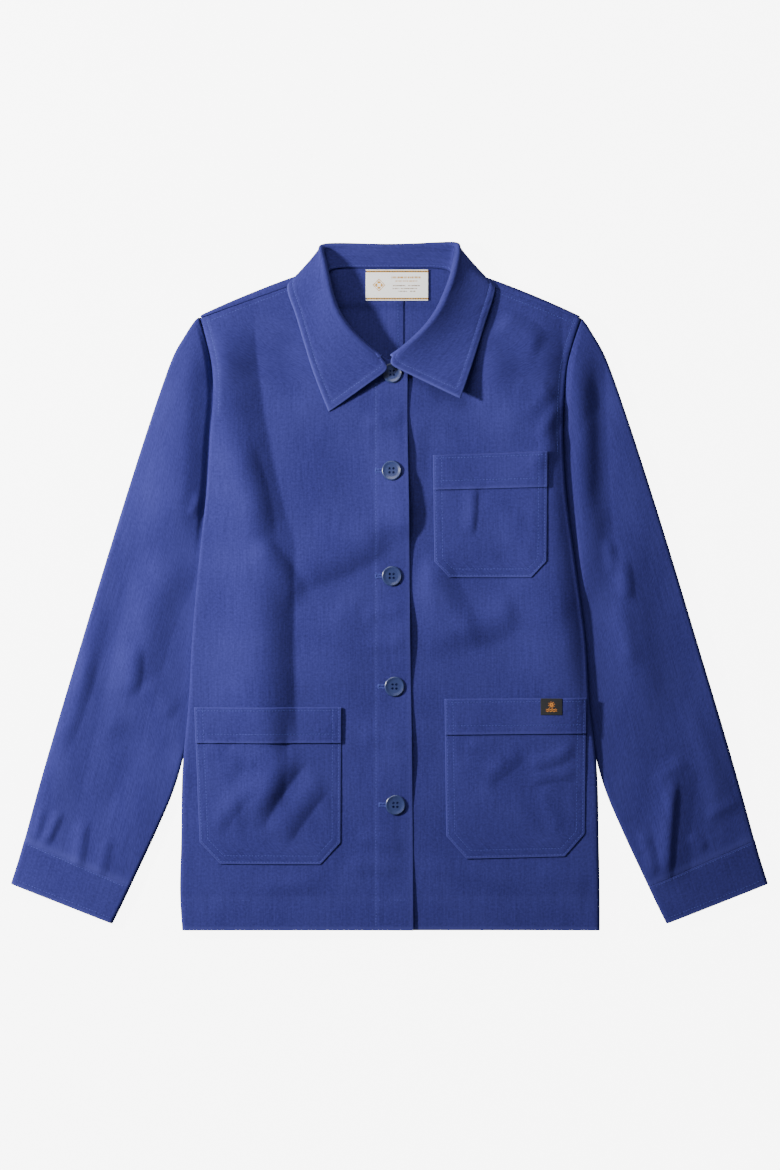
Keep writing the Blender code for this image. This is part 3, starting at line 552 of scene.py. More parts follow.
# The hem, the grid of a front, and where its hem, facing and armholes are sewn
hemY = -344.4
frontLook = dict(
    rows=250, columns=(92, 10, 12), hemStitchY=-314.5, hemFoldY=-321.5, facingX=-13.5, armholeIn=6.5,
)


def armholePath(side, low):
    y = np.linspace(266, low, 9)
    return list(zip(side * (edgeX(y, side) - frontLook["armholeIn"]), y))


frontSeams = {
    right: [armholePath(right, 170), [(frontLook["facingX"], -344), (frontLook["facingX"], 214)]],
    left: [armholePath(left, 130)],
}
hemPath = [(-212, frontLook["hemStitchY"]), (212, frontLook["hemStitchY"])]


# What the needle and the wash leave on a front: soft noise, grooves and puckers
# along the seams, and the hem's turned edge
def frontRelief(x, y, side):
    z = clothNoise(x, y, 11 if side == right else 23)
    for number, path in enumerate(frontSeams[side]):
        z = z + seamRelief(path, x, y, seed=31 + 7 * number)
    z = z + seamRelief(hemPath, x, y, depth=0.25, pucker=0.2, reach=6, pitch=9, seed=61)
    z = z + 0.3 * ramp(-y, -frontLook["hemFoldY"] - 1, -frontLook["hemFoldY"] + 1.5)
    return z


def frontSurface(x, y, side):
    return frontHeight(x, y, side) + frontRelief(x, y, side)


def makeFront(side):
    stations = np.arange(len(frontRows["sideY"]), dtype=float)
    at = np.linspace(0, stations[-1], frontLook["rows"])
    innerX = np.interp(at, stations, frontRows["over" if side == right else "under"])
    innerY = np.interp(at, stations, frontRows["innerY"])
    sideY = smoothAlong(stations, frontRows["sideY"], at)
    inner = np.stack([innerX, innerY], axis=1)
    outer = np.stack([edgeX(sideY, side) - layers["floor"], sideY], axis=1)
    points = panelPoints(inner, outer, side, frontSurface, frontTurnHeight, frontRoll, frontLook["columns"])
    uv = clothUv(points)
    x, y = points[..., 0], points[..., 1]
    wear = 0.5 * np.exp(-((y - hemY) / 1.6) ** 2)
    for path in frontSeams[side] + [hemPath]:
        wear = wear + 0.16 * np.exp(-((pathField(path, x, y)[0] / 2.0) ** 2))
    top = np.arange(points.shape[1]) <= frontLook["columns"][0] + 5
    wear = wear * top[None]
    if side == right:
        wear = wear + 0.35 * np.exp(-(np.arange(points.shape[1])[None] ** 2.0))
    shell = wallShell(points, uv, np.clip(wear, 0, 1), layers["cloth"])
    name = f"front{sideName[side]}"
    return addPiece(name, gridMesh(name, *shell), twill, "twill", f"front_{sideName[side].lower()}")


fronts = {side: makeFront(side) for side in (right, left)}
print("fronts made")


# Rows of a back up to the underarm, then their share of the way to the shoulder
backRows = np.linspace(hemY, 195, 110)
backRise = np.concatenate([np.linspace(0, 0.66, 26)[1:], np.linspace(0.66, 1, 16)[1:]])
shoulderTip, shoulderNeck = (190.5, 269.0), (69.0, 317.4)
neckHalf, neckY = 69.0, 317.5
# How far the shoulder bows out in the middle, the bulge of its fold and the way
# forward to its seam, both at the neck and at the tip
shoulderBow, shoulderRoll, shoulderSeam = 2.3, (5.2, 1.9), (6.7, 2.2)
# The felled seam down the middle of the back: where its rise starts, its crest,
# the edge of its strip, its two stitch rows, its height and its fall
fellSeam = dict(foot=-16, crest=7.0, edge=14.3, stitch=8.6, outerStitch=12.0, height=1.25, slope=0.07)
# The right back laps under the left by this, and keeps a little below it
backLap, backBelow = 2.5, 0.06


# The back swells over the felled seam
def backSurface(x, y, side):
    under = backBelow * ramp(x, -0.8, 0.1) if side == right else 0
    swell = ramp(x, fellSeam["foot"], fellSeam["crest"])
    swell = swell * (1 - ramp(x, fellSeam["crest"], fellSeam["edge"] - 1))
    return backHeight(x, y, side) + fellSeam["height"] * swell - under


# Up to its crest, then gently down to the edge of the strip
def fellHeight(x, y):
    rise = fellSeam["height"] * ramp(x, fellSeam["foot"], fellSeam["crest"])
    return backHeight(x, y, left) + rise - fellSeam["slope"] * np.maximum(x - fellSeam["crest"], 0) + 0.1


def makeBack(side):
    flat, arc, turn = 60, 6, 6
    lap = layers["seam"] / 2 if side == left else -backLap
    inner = np.stack([np.full(len(backRows), lap), backRows], axis=1)
    outer = np.stack([edgeX(backRows, side) - layers["floor"], backRows], axis=1)
    low = panelPoints(inner, outer, side, backSurface, backTurnHeight, backRoll, (flat, arc, turn))

    # Above the underarm the rows turn from straight to the slope of the shoulder
    neckColumns = 20
    part = np.linspace(0, 1, flat - neckColumns + 1)
    neck, tip = np.array(shoulderNeck), np.array(shoulderTip)
    slope = tip - neck
    up = np.array([-slope[1], slope[0]]) / np.linalg.norm(slope)
    bow = shoulderBow * 4 * part * (1 - part)
    shoulder = neck + slope * part[:, None] + up * bow[:, None]
    shoulder[-1] = (edgeX(np.array(268.0), side) - layers["floor"] - backRoll, shoulderTip[1])
    roll, seam = (np.interp(part, (0, 1), ends)[:, None] for ends in (shoulderRoll, shoulderSeam))
    seam = seam + bow[:, None]
    neckX = np.linspace(lap, neckHalf, neckColumns + 1)[:-1]
    start = np.concatenate([np.stack([neckX, np.full(neckColumns, neckY)], axis=1), shoulder - up * roll])
    roll = np.concatenate([np.full((neckColumns, 1), roll[0, 0]), roll])
    seam = np.concatenate([np.full((neckColumns, 1), seam[0, 0]), seam])
    base = low[-1, :flat + 1, :2] * (side, 1)
    plan = base[None] + (start - base)[None] * backRise[:, None, None]
    rim = edgeX(plan[:, -1, 1], side) - layers["floor"] - backRoll
    plan[..., 0] += (rim - plan[:, -1, 0])[:, None] * np.linspace(0, 1, flat + 1) ** 3
    x, y = side * plan[..., 0], plan[..., 1]
    top = np.stack([x, y, backSurface(x, y, side)], axis=-1)
    turning = top[:, -1:] + low[-1:, flat + 1:] - low[-1:, flat:flat + 1]
    upper = np.concatenate([top, turning], axis=1)

    # Over the shoulder, forward to its seam
    begin = top[-1]
    high = frontHeight(begin[:, 0], begin[:, 1], side)
    angle = np.linspace(0, math.pi, 17)[1:, None]
    out = up * (side, 1)
    bend = begin[None, :, :2] + out * roll * np.sin(angle)[..., None]
    z = (begin[:, 2] + high) / 2 - (high - begin[:, 2]) / 2 * np.cos(angle)
    over = [np.concatenate([bend, z[..., None]], axis=-1)]
    for share in (0.3, 0.6, 1):
        over.append(np.concatenate([begin[:, :2] - out * (seam - roll) * share, high[:, None]], axis=1)[None])
    over = np.concatenate(over)
    over = np.concatenate([over, np.repeat(over[:, -1:], arc + turn, axis=1)], axis=1)
    points = np.concatenate([low, upper, over])
    keep = np.ones((points.shape[0] - 1, points.shape[1] - 1), bool)
    firstOver = len(low) + len(upper) - 1
    keep[firstOver:, :neckColumns] = False
    keep[firstOver - 1:, flat:] = False
    points[..., 2] += clothNoise(points[..., 0], points[..., 1], 41 + side, 0.25) * (points[..., 2] > 2)
    uv, wear = clothUv(points), np.zeros(points.shape[:2])
    name = f"back{sideName[side]}"
    mesh = gridMesh(name, points, uv, wear, keep)
    piece = addPiece(name, mesh, twill, "twill", f"back_{sideName[side].lower()}")
    wall = piece.modifiers.new("wall", "SOLIDIFY")
    wall.thickness = layers["cloth"] * mm
    wall.offset = 0
    return piece


backs = {side: makeBack(side) for side in (right, left)}


# The felled seam shows as a strip from the neck down, sharp on one side
def makeFell():
    y = np.linspace(186, 316, 90)
    x = np.array([-3, -2, -1, 0, 3, 6, 7, 8, 10, 12, 13.5, 14.2, fellSeam["edge"], fellSeam["edge"]])
    off = np.array([-0.4, -0.15, -0.04, 0, 0, 0, 0, 0, 0, 0, 0, -0.05, -0.3, -1.2])
    plan = np.stack(np.broadcast_arrays(x[None], y[:, None]), axis=-1)
    z = fellHeight(plan[..., 0], plan[..., 1]) + layers["cloth"] / 2 + off[None]
    points = np.concatenate([plan, z[..., None]], axis=-1)
    strip = gridMesh("backFell", points, clothUv(points), np.zeros(z.shape))
    return addPiece("backFell", strip, twill, "twill")


makeFell()
print("backs made")


sleeveLook = dict(
    rings=178, top=96, low=24, turn=8, roll=3.0, full=9.6, fullRun=48, cuffFull=9.3, tuckRun=46,
    head={right: 7.0, left: 3.4}, headRise={right: (188, 240), left: (130, 215)},
)
# The first rings of a sleeve follow the curve of the armhole
armholeBow = columnsOf(
    "part bow",
    (0.0, 0.0), (0.25, -4.0), (0.5, -13.0), (0.75, -14.0), (0.9, -7.0), (1.0, 0.0),
)
cuffLook = dict(rings=34, wall=1.4, under=0.7, long=43, stitchRings=(1.6, 29.4))
cuffEdges = columnsOf(
    "outerX outerY innerX innerY",
    (365.9, -255.0, 259.3, -301.6),
    (372.0, -276.0, 268.0, -320.0),
    (379.0, -297.8, 277.0, -338.0),
)
sleeveFolds = {
    right: columnsOf(
        creaseNames,
        (-200, 252, -210, 46, -2, 8.4, 40, 20, 0.4),
        (-284, 60, -352, -250, 3, 4.2, 18, 20, 0.6),
        (-214, 30, -262, -110, -6, 4.2, 20, 18, 0.4),
        (-236, -110, -290, -240, 4, -2.0, 18, 18, 0),
    ),
    left: columnsOf(
        creaseNames,
        (208, 240, 224, -20, 0, -3.0, 14, 24, 0),
        (232, 60, 262, -130, -6, 3.6, 20, 20, 0),
        (284, -180, 276, -296, -3, 3.6, 14, 16, 0.6),
        (298, 40, 346, -180, 4, 2.8, 20, 22, 0),
    ),
}
sleeveCreases = {
    right: columnsOf(
        creaseNames,
        (-257, -62, -261, -108, 2, 2.4, 12, 7, 1),
        (-292, -20, -318, -120, 4, 1.4, 10, 9, 0.6),
        (-244, -100, -216, -128, 2, 1.8, 10, 12, 0),
        (-278, -148, -214, -176, 3, -2.1, 12, 14, 0),
        (-300, -60, -330, -160, 4, 1.5, 9, 7, 0.8),
        (-330, -226, -345, -258, 1, 1.8, 5, 4, 0.6),
        (-348, -222, -356, -254, 1, 1.4, 5, 4, 0.6),
        (-306, -236, -312, -282, 0, 2.0, 6, 5, 0.6),
        (-282, -252, -290, -290, 0, 1.4, 6, 5, 0.6),
        (-190, 92, -198, 70, 1, 1.5, 5, 5, 0.5),
    ),
    left: columnsOf(
        creaseNames,
        (188, 246, 200, -10, -2, 5.0, 14, 17, 0.8),
        (206, 216, 208, 70, 2, -2.4, 10, 12, 0),
        (218, 44, 222, 14, 1, 1.8, 6, 5, 0.8),
        (230, 26, 236, -14, 2, 2.1, 7, 6, 0.8),
        (226, -20, 240, -80, 3, 1.5, 8, 8, 0),
        (284, -196, 277, -292, -1, 2.7, 7, 4, 1),
        (296, -176, 268, -196, -2, 1.4, 8, 7, 0),
        (300, -120, 330, -230, 3, 1.7, 10, 12, 0),
        (252, -246, 264, -290, 1, 2.1, 6, 5, 0.8),
        (318, -232, 350, -216, 1, 1.4, 6, 6, 0.4),
        (300, -252, 316, -262, 1, 1.5, 5, 4, 0.6),
    ),
}


# The upper layer starts under the edge of the body, then rises to its full
# height. The head of the sleeve stands up beside the armhole.
def sleeveTop(x, y, side, across):
    past = side * x - edgeX(y, side)
    crown = 1 - 0.35 * np.abs(2 * across - 1) ** 3
    full = (sleeveLook["full"] - layers["sleeveHigh"]) * ramp(past, 0, sleeveLook["fullRun"]) * crown
    folded = creases(sleeveFolds[side], x, y) + creases(sleeveCreases[side], x, y)
    noise = clothNoise(x, y, 53 + side)
    head = sleeveLook["head"][side] * ramp(y, *sleeveLook["headRise"][side]) * ramp(past, 0.3, 1.9)
    return layers["sleeveHigh"] + np.maximum(full, head) + (folded + noise) * ramp(past, 0.5, 7)


def sleeveUnder(x, y, side):
    past = side * x - edgeX(y, side)
    tucked = 1 - ramp(past, 3, sleeveLook["tuckRun"])
    return layers["floor"] + (layers["sleeveLow"] - layers["floor"]) * tucked


# Rings of a flattened tube: across the top, round the inner fold, back along
# the underside and round the outer fold
def tubePoints(outer, inner, side, bows, topHeight, lowHeight, wall):
    roll = sleeveLook["roll"]
    way = inner - outer
    span = np.linalg.norm(way, axis=1, keepdims=True)
    way = way / span
    normal = np.stack([-way[:, 1], way[:, 0]], axis=1)
    begin = outer + way * (roll + wall / 2)
    reach = span - 2 * roll - wall

    def planAt(part):
        plan = begin[:, None] + (way * reach)[:, None] * part[None, :, None]
        bow = np.interp(part, armholeBow["part"], armholeBow["bow"])
        plan = plan + normal[:, None] * (bows[:, None] * bow[None, :])[..., None]
        return side * plan[..., 0], plan[..., 1]

    part = np.linspace(0, 1, sleeveLook["top"])
    x, y = planAt(part)
    top = np.stack([x, y, topHeight(x, y, side, part[None, :])], axis=-1)
    x, y = planAt(np.linspace(1, 0, sleeveLook["low"]))
    low = np.stack([x, y, lowHeight(x, y, side)], axis=-1)

    def foldOver(start, end, direction):
        angle = np.linspace(0, math.pi, sleeveLook["turn"] + 1)[None, 1:-1]
        mid = (start + end) / 2
        half = (start[:, 2] - end[:, 2])[:, None] / 2
        push = direction * (side, 1)
        plan = mid[:, None, :2] + push[:, None] * (roll * np.sin(angle))[..., None]
        z = mid[:, 2][:, None] + half * np.cos(angle)
        return np.concatenate([plan, z[..., None]], axis=-1)

    innerFold = foldOver(top[:, -1], low[:, 0], way)
    outerFold = foldOver(low[:, -1], top[:, 0], -way)
    return np.concatenate([top, innerFold, low, outerFold, top[:, :1]], axis=1)


def makeSleeve(side):
    stations = np.arange(len(sleeveEdges["outerX"]), dtype=float)
    at = np.linspace(0, stations[-1], sleeveLook["rings"])
    outer = np.stack([smoothAlong(stations, sleeveEdges[c], at) for c in ("outerX", "outerY")], axis=1)
    inner = np.stack([smoothAlong(stations, sleeveEdges[c], at) for c in ("innerX", "innerY")], axis=1)
    points = tubePoints(outer, inner, side, 1 - ramp(at, 0, 4.5), sleeveTop, sleeveUnder, layers["cloth"])
    uv = clothUv(points)
    wear = np.zeros(points.shape[:2])
    wear += 0.35 * np.exp(-((np.arange(len(points)) - len(points) + 1)[:, None] / 1.5) ** 2)
    shell = wallShell(points, uv, wear, layers["cloth"], tube=True)
    name = f"sleeve{sideName[side]}"
    return addPiece(name, gridMesh(name, *shell), twill, "twill", f"sleeve_{sideName[side].lower()}")


def makeCuff(side):
    parts = np.linspace(0, 2, cuffLook["rings"])
    keys = np.arange(3.0)
    outer = np.stack([smoothAlong(keys, cuffEdges[c], parts) for c in ("outerX", "outerY")], axis=1)
    inner = np.stack([smoothAlong(keys, cuffEdges[c], parts) for c in ("innerX", "innerY")], axis=1)

    def top(x, y, side, across):
        return sleeveTop(x, y, side, across) + (sleeveLook["cuffFull"] - sleeveLook["full"])

    def low(x, y, side):
        return np.full(x.shape, cuffLook["under"])

    points = tubePoints(outer, inner, side, np.zeros(len(parts)), top, low, cuffLook["wall"])
    cuffGrids[side] = points
    uv = clothUv(points)
    fromSeam = np.linspace(0, cuffLook["long"], len(parts))[:, None]
    wear = 0.4 * np.exp(-((fromSeam - cuffLook["long"]) / 1.8) ** 2) + 0.25 * np.exp(-(fromSeam / 1.8) ** 2)
    shell = wallShell(points, uv, wear * np.ones(points.shape[:2]), cuffLook["wall"], tube=True)
    name = f"cuff{sideName[side]}"
    return addPiece(name, gridMesh(name, *shell), twill, "twill", f"cuff_{sideName[side].lower()}")


cuffGrids = {}
sleeves = {side: makeSleeve(side) for side in (right, left)}
cuffs = {side: makeCuff(side) for side in (right, left)}
print("sleeves and cuffs made")


collarLook = dict(sections=250, leg=14, arc=12, leaf=44, wall=2.0, stitchIn=6.0)
# Sections of the collar from the end of its right leaf round the neck to the
# left one: seam, fold and edge, the radius, lean and heading of the fold, and
# how far the leaf sags and swells
collarTable = columnsOf(
    "seamX seamY seamZ foldX foldY foldZ edgeX edgeY edgeZ roll lean away dip bulge",
    (-12.8, 226.2, 11.4, -9.6, 228.0, 16.4, -62.0, 176.6, 10.5, 2.2, 180, 222, 0.2, 17),
    (-27.0, 236.0, 11.6, -24.0, 238.2, 18.4, -69.2, 196.0, 12.3, 2.8, 180, 218, 1.4, 5),
    (-43.5, 252.5, 12.0, -41.6, 255.0, 20.6, -77.6, 219.5, 13.4, 3.2, 178, 212, 2.0, 0),
    (-56.0, 270.0, 12.3, -53.4, 272.5, 21.6, -86.0, 247.0, 14.0, 3.5, 172, 206, 1.8, 0),
    (-62.5, 288.0, 12.6, -59.8, 290.0, 21.8, -93.2, 271.0, 14.4, 3.5, 162, 196, 1.8, 0),
    (-63.0, 302.0, 12.2, -63.4, 307.0, 20.6, -99.8, 289.5, 14.4, 3.3, 146, 182, 1.2, 0),
    (-63.2, 309.5, 10.0, -66.2, 323.0, 16.8, -101.0, 300.0, 12.2, 3.0, 118, 164, 0.6, 0),
    (-61.5, 314.5, 7.2, -68.0, 334.5, 10.6, -95.0, 306.6, 4.8, 2.6, 78, 146, 0, 0),
    (-56.0, 317.6, 5.4, -64.8, 339.0, 5.6, -84.0, 309.0, 1.7, 2.2, 40, 122, 0, 0),
    (-42.0, 319.0, 4.8, -48.0, 340.2, 3.8, -66.0, 300.0, 1.05, 2.0, 16, 104, 0, 0),
    (-22.0, 319.0, 4.3, -24.0, 339.6, 3.4, -30.0, 294.0, 1.05, 2.0, 4, 94, 0, 0),
    (0.0, 319.0, 4.2, 0.0, 339.2, 3.3, 0.0, 293.0, 1.05, 2.0, 0, 90, 0, 0),
    (22.0, 319.0, 4.3, 24.0, 339.8, 3.4, 30.0, 294.0, 1.05, 2.0, 4, 86, 0, 0),
    (42.0, 319.0, 4.8, 48.0, 341.0, 3.8, 66.0, 300.0, 1.05, 2.0, 16, 76, 0, 0),
    (56.0, 317.6, 5.4, 65.0, 341.0, 5.6, 86.0, 309.0, 1.7, 2.2, 40, 58, 0, 0),
    (61.5, 314.5, 7.2, 68.4, 336.6, 10.6, 97.5, 305.5, 4.8, 2.6, 78, 34, 0, 0),
    (63.6, 309.5, 9.8, 67.0, 324.0, 16.8, 104.4, 298.6, 11.6, 3.0, 118, 16, 0.6, 0),
    (63.4, 302.0, 11.8, 63.5, 307.0, 20.6, 102.8, 287.5, 13.4, 3.3, 146, -2, 1.4, 0),
    (62.5, 289.0, 12.0, 58.0, 291.0, 22.4, 96.4, 268.0, 14.8, 3.5, 162, -16, 2.2, 0),
    (54.0, 270.5, 11.6, 49.5, 273.0, 22.8, 89.6, 246.0, 16.8, 3.5, 172, -26, 3.2, 0),
    (41.0, 253.5, 11.2, 37.0, 256.0, 22.0, 82.8, 224.5, 19.2, 3.2, 178, -32, 4.0, 0),
    (23.0, 237.2, 11.2, 19.0, 239.4, 19.4, 76.2, 204.5, 21.4, 2.8, 180, -38, 3.6, 2.5),
    (4.6, 226.6, 11.2, 3.4, 228.6, 16.2, 70.6, 188.5, 23.4, 2.2, 180, -38, 2.4, 9),
)


# Cubic from start to end with the given end directions
def hermite(start, end, leave, arrive, parts):
    t = parts[None, :, None]
    return (
        (1 + 2 * t) * (1 - t) ** 2 * start[:, None] + t * (1 - t) ** 2 * leave[:, None]
        + t * t * (3 - 2 * t) * end[:, None] + t * t * (t - 1) * arrive[:, None]
    )


# Each section climbs the stand from its seam, turns over the roll and runs
# down the leaf to its edge
def collarSections():
    stations = np.arange(len(collarTable["roll"]), dtype=float)
    at = np.linspace(0, stations[-1], collarLook["sections"])
    value = {name: smoothAlong(stations, collarTable[name], at) for name in collarTable}
    seam, fold, edge = (
        np.stack([value[f"{place}{axis}"] for axis in "XYZ"], axis=1) for place in ("seam", "fold", "edge")
    )
    lean, away = np.radians(value["lean"]), np.radians(value["away"])
    out = np.stack([np.cos(away), np.sin(away), 0 * away], axis=1)
    up = np.array([0, 0, 1.0])
    tip = out * np.cos(lean)[:, None] + up * np.sin(lean)[:, None]
    leaf = out * np.sin(lean)[:, None] - up * np.cos(lean)[:, None]
    roll = value["roll"][:, None]
    below, above = fold - leaf * roll, fold + leaf * roll
    rise = np.linalg.norm(below - seam, axis=1, keepdims=True)
    fall = np.linalg.norm(edge - above, axis=1, keepdims=True)
    stand = hermite(seam, below, (below - seam) * 0.8, tip * rise * 0.8,
                    np.linspace(0, 1, collarLook["leg"] + 1))
    angle = np.linspace(0, math.pi, collarLook["arc"] + 1)[None, 1:-1, None]
    arc = fold[:, None] - (leaf * roll)[:, None] * np.cos(angle) + (tip * roll)[:, None] * np.sin(angle)
    down = hermite(above, edge, -tip * np.minimum(fall / 2, 14), (edge - above) * 0.9,
                   np.linspace(0, 1, collarLook["leaf"] + 1))
    part = np.linspace(0, 1, collarLook["leaf"] + 1)
    down[..., 2] -= value["dip"][:, None] * np.sin(np.pi * part) ** 1.5
    run = unit((edge - fold)[:, :2])
    aside = np.stack([run[:, 1], -run[:, 0]], axis=1) * np.sign(run[:, :1])
    bulge = value["bulge"][:, None] * (1 - 0.86 * part) * (1 - np.exp(-part / 0.07))
    down[..., :2] += aside[:, None] * bulge[..., None]
    return np.concatenate([stand, arc, down], axis=1)


# Values of a grid between its points, by row and column positions
def gridAt(grid, row, column):
    i = np.clip(np.floor(row).astype(int), 0, grid.shape[0] - 2)
    j = np.clip(np.floor(column).astype(int), 0, grid.shape[1] - 2)
    s, t = row - i, column - j
    if grid.ndim == 3:
        s, t = s[:, None], t[:, None]
    low = grid[i, j] * (1 - t) + grid[i, j + 1] * t
    high = grid[i + 1, j] * (1 - t) + grid[i + 1, j + 1] * t
    return low * (1 - s) + high * s


def makeCollar():
    points = collarSections()
    normal = gridNormals(points)
    uv = clothUv(points)
    u, v = uv[..., 0] / mm, uv[..., 1] / mm
    toEdge = u[:, -1:] - u
    toEnd = np.minimum(v, v[-1:] - v)
    inward = np.minimum(toEdge, toEnd)
    onLeaf = ramp(np.arange(points.shape[1])[None], collarLook["leg"] + 4, collarLook["leg"] + 14)
    along = np.where(toEdge < toEnd, v, u)
    ripple = softNoise(along, along * 0, 6.5, 71) + 0.5 * softNoise(along, along * 0, 3.1, 72)
    fromStitch = inward - collarLook["stitchIn"]
    relief = 0.32 * np.exp(-((inward - 3.2) / 2.0) ** 2) - 0.35 * np.exp(-(fromStitch / 0.9) ** 2)
    relief += 0.26 * ripple * np.exp(-(fromStitch / 4.5) ** 2)
    relief = relief * onLeaf + clothNoise(u, v, 81, 0.8) * np.sin(np.pi * np.clip(u / u[:, -1:], 0, 1))
    leafUp = np.sign(normal[:, -1:, 2:3])
    points = points + normal * relief[..., None] * leafUp
    wear = 0.7 * np.exp(-(inward / 1.3) ** 2) + 0.2 * np.exp(-(fromStitch / 1.8) ** 2)
    fold = collarLook["leg"] + collarLook["arc"] / 2
    wear = wear + 0.25 * np.exp(-((np.arange(points.shape[1])[None] - fold) / 5.0) ** 2)
    shell = wallShell(points, uv, np.clip(wear, 0, 1), collarLook["wall"])
    piece = addPiece("turnDownCollar", gridMesh("turnDownCollar", *shell), twill, "twill", "collar")
    return piece, points, normal * leafUp, uv


collar, collarPoints, collarNormals, collarUv = makeCollar()
print("collar made")


pocketLook = dict(
    wall=1.0, rest=0.8, puff=0.8, bandRoll=0.85, columns=74, stitchNear=1.8, stitchFar=8.0,
    bandStitchLow=8.5, bandStitchHigh=3.0,
)
# Two ends of the top and of the foot, the depth of the band turned out at the
# top, and the corners cut off at the foot
pockets = dict(
    chestPocket=dict(
        node="chest_pocket", side=left, band=34.5, cut=(14.5, 15.5),
        top=((44.0, 130.0), (157.0, 133.5)), foot=((45.5, 8.5), (156.0, 8.5)),
        creases=columnsOf(
            creaseNames,
            (83, 98, 80, 52, 1, 1.9, 7, 4, 1),
            (92, 84, 132, 60, 3, 0.8, 9, 7, 0.4),
            (60, 44, 110, 26, 3, 0.8, 8, 8, 0.4),
            (112, 46, 146, 28, 2, 0.6, 7, 7, 0),
        ),
    ),
    lowerPocketRight=dict(
        node="lower_pocket_right", side=right, band=35.0, cut=(19.5, 21.5),
        top=((-194.5, -122.0), (-48.7, -122.0)), foot=((-188.5, -278.0), (-49.5, -278.5)),
        creases=columnsOf(
            creaseNames,
            (-122, -134, -126, -222, 2, 2.6, 24, 12, 1),
            (-188, -158, -148, -184, 3, 1.8, 9, 6, 1),
            (-160, -164, -134, -180, 2, 1.2, 8, 5, 1),
            (-94, -170, -138, -236, -3, 3.2, 15, 9, 1),
            (-70, -196, -112, -252, -2, 3.0, 15, 9, 1),
            (-136, -196, -176, -244, -2, 1.6, 10, 7, 0.8),
            (-172, -176, -150, -250, 3, 1.2, 8, 8, 0),
            (-100, -160, -70, -200, 3, 0.9, 9, 9, 0),
        ),
    ),
    lowerPocketLeft=dict(
        node="lower_pocket_left", side=left, band=35.0, cut=(19.5, 22.5),
        top=((55.5, -113.8), (196.0, -112.5)), foot=((57.5, -273.0), (194.5, -270.5)),
        creases=columnsOf(
            creaseNames,
            (78, -158, 116, -176, 3, 1.3, 8, 6, 0.8),
            (70, -176, 104, -204, 3, 1.0, 8, 7, 0.4),
            (186, -160, 140, -178, 3, 1.6, 7, 6, 1),
            (188, -188, 142, -194, -2, 1.3, 7, 5, 1),
            (130, -164, 96, -190, 2, 1.6, 9, 7, 0.8),
            (90, -206, 150, -244, 5, 1.0, 10, 9, 0),
            (150, -206, 168, -246, 2, 0.9, 8, 8, 0),
        ),
    ),
)


# Plan of a pocket: across from 0 to 1, and up from its foot in mm
def pocketPlan(shape, across, up):
    top, foot = np.array(shape["top"]), np.array(shape["foot"])
    tall = np.linalg.norm(top - foot, axis=1).mean()
    cutX, cutY = shape["cut"]
    part = up / tall
    inset = cutX * np.maximum(1 - up / cutY, 0)
    leftX = foot[0, 0] + (top - foot)[0, 0] * part + inset
    leftY = foot[0, 1] + (top - foot)[0, 1] * part
    rightX = foot[1, 0] + (top - foot)[1, 0] * part - inset
    rightY = foot[1, 1] + (top - foot)[1, 1] * part
    return leftX + (rightX - leftX) * across, leftY + (rightY - leftY) * across, tall


# Down one side of a pocket, over its cut corners and up the other, drawn in by
# the inset
def pocketOutline(shape, inset=0.0):
    tall, cutY = pocketPlan(shape, 0.0, 0.0)[2], shape["cut"][1]
    ups = [tall, cutY, 0, 0, cutY, tall]
    ends = [0, 0, 0, 1, 1, 1]
    corners = np.array([pocketPlan(shape, e, u)[:2] for e, u in zip(ends, ups)], float)
    if inset:
        middle = corners.mean(axis=0)
        lines = []
        for a, b in zip(corners[:-1], corners[1:]):
            way = (b - a) / np.linalg.norm(b - a)
            normal = np.array([-way[1], way[0]])
            normal = normal * np.sign(normal @ (middle - a))
            lines.append((a + normal * inset, way))
        moved = [lines[0][0]]
        for (p, d), (q, e) in zip(lines[:-1], lines[1:]):
            s = np.linalg.solve(np.array([d, -e]).T, q - p)[0]
            moved.append(p + d * s)
        last = lines[-1]
        moved.append(corners[-1] + (last[0] - corners[-2]))
        corners = np.array(moved)
    return [tuple(c) for c in corners]


# Middle of the bag's wall: on the front, a little puffed, held down at its
# edges, with its own creases and the ridge of the turned-in edge
def bagHeight(shape, x, y, across, up, tall):
    side = shape["side"]
    outline = pocketOutline(shape)
    away, along = pathField(outline, x, y)
    rest = 0.3 + (pocketLook["rest"] - 0.3) * ramp(away, 2, 14)
    puff = pocketLook["puff"] * np.sin(np.pi * across) * np.sin(np.pi * np.clip(up / tall, 0, 1))
    z = frontHeight(x, y, side) + layers["cloth"] / 2 + rest + puff + pocketLook["wall"] / 2
    held = ramp(away, 4, 22)
    z = z + creases(shape["creases"], x, y) * held
    z = z + clothNoise(x, y, 91 + len(shape["node"])) * (0.35 + 0.65 * held)
    ripple = softNoise(along, along * 0, 6, 97) + 0.5 * softNoise(along, along * 0, 2.9, 98)
    z = z + 0.14 * ripple * np.exp(-((away - 5) / 5.0) ** 2)
    for inset, deep in ((pocketLook["stitchNear"], 0.18), (pocketLook["stitchFar"], 0.12)):
        z = z - deep * np.exp(-((away - inset) / 0.8) ** 2)
    return z + 0.15 * np.exp(-((away - 5.2) / 2.4) ** 2)


